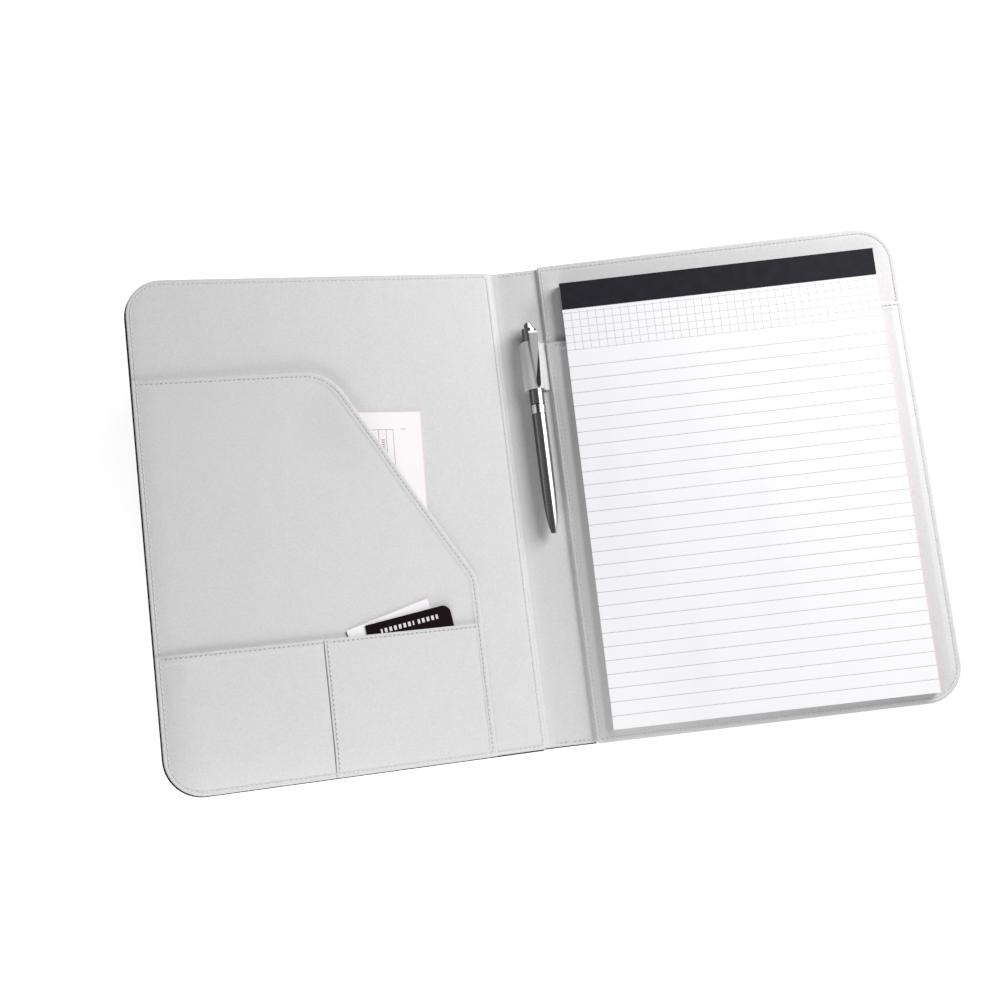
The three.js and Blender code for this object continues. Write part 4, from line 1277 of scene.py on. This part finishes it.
class FOLDER_OT_spine(Operator):
    """Makes the spine's lining and leather over the creases, the left one bent up to the front cover, and the
    pen's loop
    """
    bl_idname = "folder.spine"
    bl_label = "Spine"

    def execute(self, context):
        self.half("right", 1, Vector(joint("spine_fold")["pos_m"]), "back_cover")
        self.half("left", -1, HINGE, "front_cover")
        self.ends()
        self.loop()
        return {"FINISHED"}

    def half(self, name, sign, axis, cover):
        """The lining and the leather from one crease to the middle of the spine."""
        middle = SPINE_WIDTH / 2
        left, right = (-middle, -SPINE_RIM) if sign > 0 else (SPINE_RIM - SPINE_WIDTH, -middle)
        layers = [("lining", SPINE_FACE[sign], SPINE_BACK, SPINE_SHORTER, lining_finish(), "lining_leather",
                   (f"{name}_crease", "spine_lining")),
                  ("leather", SPINE_SKIN_BACK, SPINE_SKIN_FACE, 0.2, leather_finish(), "outer_leather",
                   ("spine_skin",))]
        for layer, over, under, foot, made_of, slot, nodes in layers:
            corners = rectangle(left, foot, right, PAGE_HEIGHT - SPINE_SHORTER)
            strip = panel(f"spine_{layer}_{name}", corners, self.profile(over, sign, layer == "lining"),
                          self.profile(under, sign, False), BACK_PAGE, made_of, insets=STRIP_RINGS,
                          backs=STRIP_RINGS, spacing=1.2, grid=1.5,
                          square=lambda x, y: (np.abs(x - left) < 1e-6) | (np.abs(x - right) < 1e-6))
            if sign < 0:
                self.tilt(strip)
            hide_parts(*nodes)
            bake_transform(strip)

    def profile(self, stops, sign, hemmed):
        """Height over a half of the spine, with its ends hemmed."""
        curve = eased(stops, 0.5)
        ends = eased(SPINE_END_FACE, 0.5)
        foot, head = SPINE_SHORTER, PAGE_HEIGHT - SPINE_SHORTER

        def height(x, y):
            rim = -x if sign > 0 else x + SPINE_WIDTH
            end = np.minimum(y - foot, head - y)
            return curve(rim) + (ends(end) if hemmed else 0.0)
        return height

    def tilt(self, strip):
        """Folds a strip up to the raised front cover, as the left crease does."""
        places = np.empty(len(strip.data.vertices) * 3)
        strip.data.vertices.foreach_get("co", places)
        places = places.reshape(-1, 3)
        reach = (CREASE_REACH - STRIP_GAP) * MM
        angle = FRONT_TILT * smooth(np.clip((HINGE.x + reach - places[:, 0]) / (2 * reach), 0, 1))
        x, z = places[:, 0] - HINGE.x, places[:, 2] - HINGE.z
        places[:, 0] = HINGE.x + x * np.cos(angle) + z * np.sin(angle)
        places[:, 2] = HINGE.z - x * np.sin(angle) + z * np.cos(angle)
        strip.data.vertices.foreach_set("co", places.ravel())

    def ends(self):
        """Stitches across the spine's two ends."""
        right, left = (self.profile(SPINE_FACE[sign], sign, True) for sign in (1, -1))

        def surface(x, y):
            return np.where(x > -SPINE_WIDTH / 2, right(x, y), left(x, y))

        inset = SPINE_SHORTER + SPINE_SEAM
        lines = [(np.array([(7.5 - SPINE_WIDTH, y), (-5, y)]), False) for y in (inset, PAGE_HEIGHT - inset)]
        stitches("spine_end", lines, surface, BACK_PAGE, "spine", inside_threads())

    def strap_face(self, fold, level, radius):
        """One face of the strap: along the spine, up beside the pen, over it and down to the fold."""
        x, z = PEN_SIDE, PEN_LEVEL
        side = x + radius
        flat = [(fold + (side - fold) * s, level) for s in np.linspace(0.04, 0.96, 9)]
        rise = [(side, level + (z - level) * s) for s in np.linspace(0.1, 0.9, 5)]
        top = [(x + radius * math.cos(a), z + radius * math.sin(a)) for a in np.linspace(0, math.pi / 2, 17)]
        pull = np.array([(x, z + radius), (x - radius, z + radius), (fold + STRAP_THICKNESS, z),
                         (fold, STRAP_LEVEL + 2 * STRAP_THICKNESS)])
        share = np.linspace(0, 1, 21)[1:, None]
        arc = ((1 - share) ** 3 * pull[0] + 3 * (1 - share) ** 2 * share * pull[1]
               + 3 * (1 - share) * share ** 2 * pull[2] + share ** 3 * pull[3])
        return np.array([*flat, *rise, *top, *arc])

    def loop(self):
        """The strap round the pen and its sewn end."""
        hollow = PEN_RADIUS + 0.3
        outer = self.strap_face(LOOP_FOLD, STRAP_LEVEL, hollow + STRAP_THICKNESS)
        inner = self.strap_face(LOOP_FOLD + STRAP_THICKNESS, STRAP_LEVEL + STRAP_THICKNESS, hollow)
        half = LOOP_WIDTH / 2
        section = ((1, 0.985), (0.55, 1.0), (-0.55, 1.0), (-1, 0.985), (-1, -0.985), (-0.55, -1.0),
                   (0.55, -1.0), (1, -0.985))
        rings = []
        for a, b in zip(outer, inner):
            ring = []
            for across, along in section:
                place = (a + b) / 2 + (a - b) / 2 * across
                ring.append((place[0], LOOP_FOOT + half + half * along, place[1]))
            rings.append(np.array(ring))
        strap = piece("pen_strap", *lofted(rings, closed=True), BACK_PAGE, pocket_finish())
        declared(strap, "lining_leather", "spine", "pen_loop")
        start = PEN_SIDE + hollow + STRAP_THICKNESS + 0.1
        top = eased([(start, STRAP_LEVEL + 1.9), (-3.6, STRAP_LEVEL + 1.1), (LOOP_SEWN_EDGE, 4.0)], 0.4)
        low = eased([(start, STRAP_LEVEL), (-3.6, 3.5), (LOOP_SEWN_EDGE, 3.1)], 0.4)
        tab = panel("pen_strap_end", rectangle(start, LOOP_FOOT, LOOP_SEWN_EDGE, LOOP_FOOT + LOOP_WIDTH),
                    lambda x, y: top(x), lambda x, y: low(x), BACK_PAGE, pocket_finish(),
                    insets=[0.3, 0.7, 1.2, 1.7], backs=[0.5, 1.5], spacing=0.5, grid=0.6)
        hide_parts("pen_loop_tab")
        axis = Vector(joint("spine_fold")["pos_m"])
        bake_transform(tab)


class FOLDER_OT_pad(Operator):
    """Makes the memo pad's block of sheets and its printed top sheet"""
    bl_idname = "folder.pad"
    bl_label = "Memo pad"

    def execute(self, context):
        size = sizes()
        printed = finish("printed_memo_paper", memo_paper)
        layers = int(size["pad_layers"])
        rng = np.random.default_rng(11)
        rings = []
        step = (PAD_SHEETS_TOP - PAD_SHEETS_FOOT) / layers
        for i in range(layers):
            low = PAD_SHEETS_FOOT + i * step
            draw = rng.uniform(0.0, 0.18, 4)
            for share, inset in ((0.0, 0.2), (0.18, 0.02), (0.82, 0.02), (1.0, 0.2)):
                left, foot, right, head = draw + inset
                ring = outline(rectangle(left, foot, PAD_WIDTH - right, PAD_HEIGHT - head), 0.0, 15.0)
                rings.append(np.column_stack((ring, np.full(len(ring), low + step * share))))
        block = piece("memo_sheets", *capped(rings), PAD, printed, crease=30)
        declared(block, "pad_paper", "pad", "pad_sheets")

        def over(x, y):
            edge = np.minimum(np.minimum(x, PAD_WIDTH - x), y)
            lift = np.clip(1 - edge / 30, 0, 1) ** 2 * 0.25
            free = np.clip((TOP_SHEET_HEAD - y) / 40, 0, 1)
            wave = waves(x, y, 21.0, 70, size["page_wave"]) + size["page_wave"]
            return TOP_SHEET_LEVEL + PAPER_THICKNESS - 0.05 + free * (wave + lift)

        top = panel("memo_top_sheet", rectangle(0, 0, PAD_WIDTH, TOP_SHEET_HEAD), over,
                    lambda x, y: over(x, y) - 0.15, PAD, printed, insets=[0.5, 3, 8], backs=[0.5, 3, 8],
                    spacing=6.0, grid=8.0, roll=0.05)
        declared(top, "pad_paper", "pad_page", "pad_top_sheet")
        return {"FINISHED"}


class FOLDER_OT_papers(Operator):
    """Makes the letter in the large pocket and the two tickets"""
    bl_idname = "folder.papers"
    bl_label = "Papers"

    def execute(self, context):
        curl = sizes()["ticket_curl"]
        width, height = LETTER_SIZE

        def letter_top(x, y):
            return LETTER_LEVEL + PAPER_THICKNESS + waves(x, y, 31.0, 60, 0.05)

        self.sheet("letter_sheet", "document_sheet", rectangle(-width, -height, 0, 0), letter_top,
                   on_front(LETTER_CORNER, LETTER_TURN), finish("letter_paper", letter_paper),
                   "document_paper", "document")
        width, height = TICKET_SIZE

        def white_top(x, y):
            head = np.clip(1 + y / 14, 0, 1)
            return WHITE_TICKET_LEVEL + PAPER_THICKNESS + 0.15 * curl * head * head * (1 - x / width)

        self.sheet("white_ticket", "plain_ticket", rectangle(0, -height, width, 0), white_top,
                   on_front(WHITE_TICKET_CORNER, WHITE_TICKET_TURN), finish("ticket_paper", ticket_paper),
                   "ticket_paper", "plain_ticket")

        def black_top(x, y):
            head = np.clip(1 + y / 14, 0, 1)
            return BLACK_TICKET_LEVEL + PAPER_THICKNESS + curl * head * head * (0.3 + 0.4 * x / width)

        self.sheet("black_ticket", "dark_ticket",
                   rectangle(0, -height, width, 0, (0, 0, BLACK_TICKET_RADIUS, 0)), black_top,
                   on_front(BLACK_TICKET_CORNER, BLACK_TICKET_TURN), finish("dark_card", dark_card),
                   "ticket_card", "dark_ticket")
        return {"FINISHED"}

    def sheet(self, name, node, corners, over, place, made_of, slot, body):
        made = panel(name, corners, over, lambda x, y: over(x, y) - PAPER_THICKNESS, place, made_of,
                     insets=[0.4, 2, 5], backs=[0.4, 2, 5], spacing=3.0, grid=5.0, roll=0.06)
        declared(made, slot, body, node)


class FOLDER_OT_pen(Operator):
    """Makes the pen's barrels, ring, clip and button"""
    bl_idname = "folder.pen"
    bl_label = "Pen"

    def execute(self, context):
        steel, chrome, cap_chrome, plate = self.finishes()
        self.make("barrel_front", "pen_lower_barrel", turned(self.front_section()), steel, "pen_steel", "pen")
        band, groove = PEN_RADIUS + 0.2, PEN_RADIUS + 0.05
        ring = rounded_profile([(PEN_BORE, 79.4), (band, 79.4), (band, 80.6)], 0.12)
        ring += [(groove, 80.75), (groove, 81.0), (band, 81.15), (band, 83.5), (groove, 83.65),
                 (groove, 83.9), (band, 84.05), (band, 85.0), (PEN_RADIUS, 85.2), (PEN_BORE, 85.2)]
        self.make("barrel_band", "pen_ring", turned(ring), chrome, "pen_chrome", "pen")
        upper = rounded_profile([(PEN_BORE, 85.5), (PEN_RADIUS, 85.5), (PEN_RADIUS, 137.1), (3.2, 137.1),
                                 (3.2, 135.6), (PEN_BORE, 135.6)], 0.25)
        self.make("barrel_rear", "pen_upper_barrel", turned(upper), steel, "pen_steel", "pen")
        dome = [(2.9 * math.cos(a), 138.9 + 2.9 * math.sin(a)) for a in np.linspace(0, math.pi / 2, 14)[:-1]]
        cap = [(0.01, 133.3), (3.7, 133.3), (3.7, 135.3), (2.9, 135.3), *dome, (0.01, 141.8)]
        self.make("button_cap", "pen_button", turned(cap), cap_chrome, "pen_chrome", "button")
        self.clip(plate)
        return {"FINISHED"}

    def finishes(self):
        """Finishes of the barrel, the ring, the button and the clip, each with painted reflections."""
        shades = colours()
        dark, light = shades.steel[1], shades.chrome[1]
        # Painted reflections: bands of painted shade and painted highlight across each part, from its left to
        # its right
        steel = [(-1.0, dark * 0.7), (-0.72, dark * 0.9), (-0.6, dark * 2.6), (-0.48, dark * 1.2),
                 (-0.3, dark * 0.9), (-0.05, dark * 0.6), (0.2, dark * 0.9), (0.36, 0.95), (0.54, 0.95),
                 (0.68, 0.3), (1.0, 0.26)]
        chrome = [(-1.0, light), (-0.5, light * 1.6), (-0.34, light), (-0.28, 0.03), (0.02, 0.03),
                  (0.1, light), (0.3, 0.95), (0.7, 0.95), (1.0, light)]
        cap = [(-0.6, 0.05), (-0.15, 0.07), (0.05, 0.95), (0.5, 0.9)]
        plate = [(-0.62, light * 0.4), (-0.5, light), (0.5, light * 1.1)]
        return (finish("brushed_steel", pen_metal_painted_reflections, steel, 0.3, 0.12),
                finish("polished_chrome", pen_metal_painted_reflections, chrome, 0.15),
                finish("cap_chrome", pen_metal_painted_reflections, cap, 0.15),
                finish("clip_chrome", pen_metal_painted_reflections, plate, 0.15, 0.0, True))

    def front_section(self):
        """Section of the tapered lower barrel, with the spigot that enters the upper one."""
        along = np.concatenate((np.linspace(0, 10, 14), np.linspace(12, BARREL_JOINT, 26)))
        outside = list(zip(eased(BARREL_TAPER, 2.0)(along), np.where(along == 0, 0.15, along)))
        spigot, bore = 3.7, 2.95
        return [(0.95, 0.0), (1.35, 0.0), *outside, (spigot, BARREL_JOINT), (spigot, 91.4), (bore, 91.4),
                (bore, 34.0), (2.4, 26.0), (2.4, 8.6), (0.95, 8.6)]

    def make(self, name, node, shape, made_of, slot, body, place=PEN, crease=35):
        points, faces = shape
        declared(piece(name, points, inside_out(faces), place, made_of, crease), slot, body, node)

    def clip(self, made_of):
        """A bent plate: foot on the barrel, blade tapering to a rounded tip over the strap."""
        seat, blade, top = 5.05, 6.25, 7.25
        wide, root, narrow = 2.9, 2.88, CLIP_TIP_HALF_WIDTH
        head, tip = CLIP_HEAD, CLIP_TIP + 2.4
        stations = [(head, seat, top - 0.75, 2.75), (head - 0.1, seat, top - 0.55, 2.85),
                    (head - 0.3, seat, top - 0.42, wide), (head - 1.7, seat, top - 0.02, wide),
                    (head - 1.9, seat, top, wide), (head - 3.4, seat, top, wide),
                    (head - 4.2, seat + 0.35, top, wide), (head - 5.0, blade, top, root)]
        for share in np.linspace(0.2, 1.0, 12):
            stations.append((head - 5 + (tip - head + 5) * share, blade, top,
                             root + (narrow - root) * share ** 1.15))
        for angle in np.radians((25, 50, 70, 84)):
            stations.append((tip - 2.4 * math.sin(angle), blade + 0.06 * math.sin(angle),
                             top - 0.1 * math.sin(angle), narrow * math.cos(angle)))
        rings = []
        for y, low, high, half in stations:
            edge = min(0.14, half / 3)
            rings.append(np.array([
                (-half + edge, y, low), (half - edge, y, low), (half, y, low + edge), (half, y, high - edge),
                (half - edge, y, high), (-half + edge, y, high), (-half, y, high - edge),
                (-half, y, low + edge)]))
        place = PEN @ Matrix.Rotation(math.radians(CLIP_TURN), 4, "Y") @ shifted(CLIP_SHIFT, 0)
        self.make("clip_blade", "pen_clip", capped(rings), made_of, "pen_chrome", "pen", place, 20)


class FOLDER_OT_inner_pieces(Operator):
    """Gives the frame's own solids that stay their finishes"""
    bl_idname = "folder.inner_pieces"
    bl_label = "Inner pieces"

    def execute(self, context):
        shades = colours()
        for name, make, shade, nodes in (
                ("greyboard", board_finish, shades.greyboard,
                 ("back_board", "front_board", "spine_board", "pad_backing_board")),
                ("foam", foam_finish, shades.foam, ("back_padding", "front_padding")),
                ("refill_plastic", plastic, shades.plastic, ("pen_refill", "pen_thrust_tube")),
                ("binding_tape", tape_finish, shades.tape, ("pad_binding_strip",)),
                ("spring_wire", wire, shades.steel, ("pen_spring",))):
            for node in nodes:
                mesh = frame["nodes"][node].data
                mesh.materials.clear()
                mesh.materials.append(finish(name, make, tuple(shade)))
        return {"FINISHED"}


OPERATORS = (FOLDER_OT_stage, FOLDER_OT_covers, FOLDER_OT_pockets, FOLDER_OT_spine, FOLDER_OT_pad,
             FOLDER_OT_papers, FOLDER_OT_pen, FOLDER_OT_inner_pieces)


class FOLDER_PT_build(Panel):
    """Lists the folder's operators, sizes and colours"""
    bl_idname = "FOLDER_PT_build"
    bl_label = "Document folder"
    bl_space_type = "VIEW_3D"
    bl_region_type = "UI"
    bl_category = "Folder"

    def draw(self, context):
        for operator in OPERATORS:
            self.layout.operator(operator.bl_idname)
        for group in (context.scene.folder_sizes, context.scene.folder_colours):
            box = self.layout.box()
            for name in group.__annotations__:
                box.prop(group, name)


CLASSES = (FolderSizes, FolderColours, *OPERATORS, FOLDER_PT_build)


def register():
    for cls in CLASSES:
        bpy.utils.register_class(cls)
    bpy.types.Scene.folder_sizes = PointerProperty(type=FolderSizes)
    bpy.types.Scene.folder_colours = PointerProperty(type=FolderColours)


def unregister():
    del bpy.types.Scene.folder_colours
    del bpy.types.Scene.folder_sizes
    for cls in reversed(CLASSES):
        bpy.utils.unregister_class(cls)


def main():
    register()
    bpy.ops.folder.stage()
    bpy.ops.folder.covers()
    bpy.ops.folder.pockets()
    bpy.ops.folder.spine()
    bpy.ops.folder.pad()
    bpy.ops.folder.papers()
    bpy.ops.folder.pen()
    bpy.ops.folder.inner_pieces()


if __name__ == "__main__":
    main()
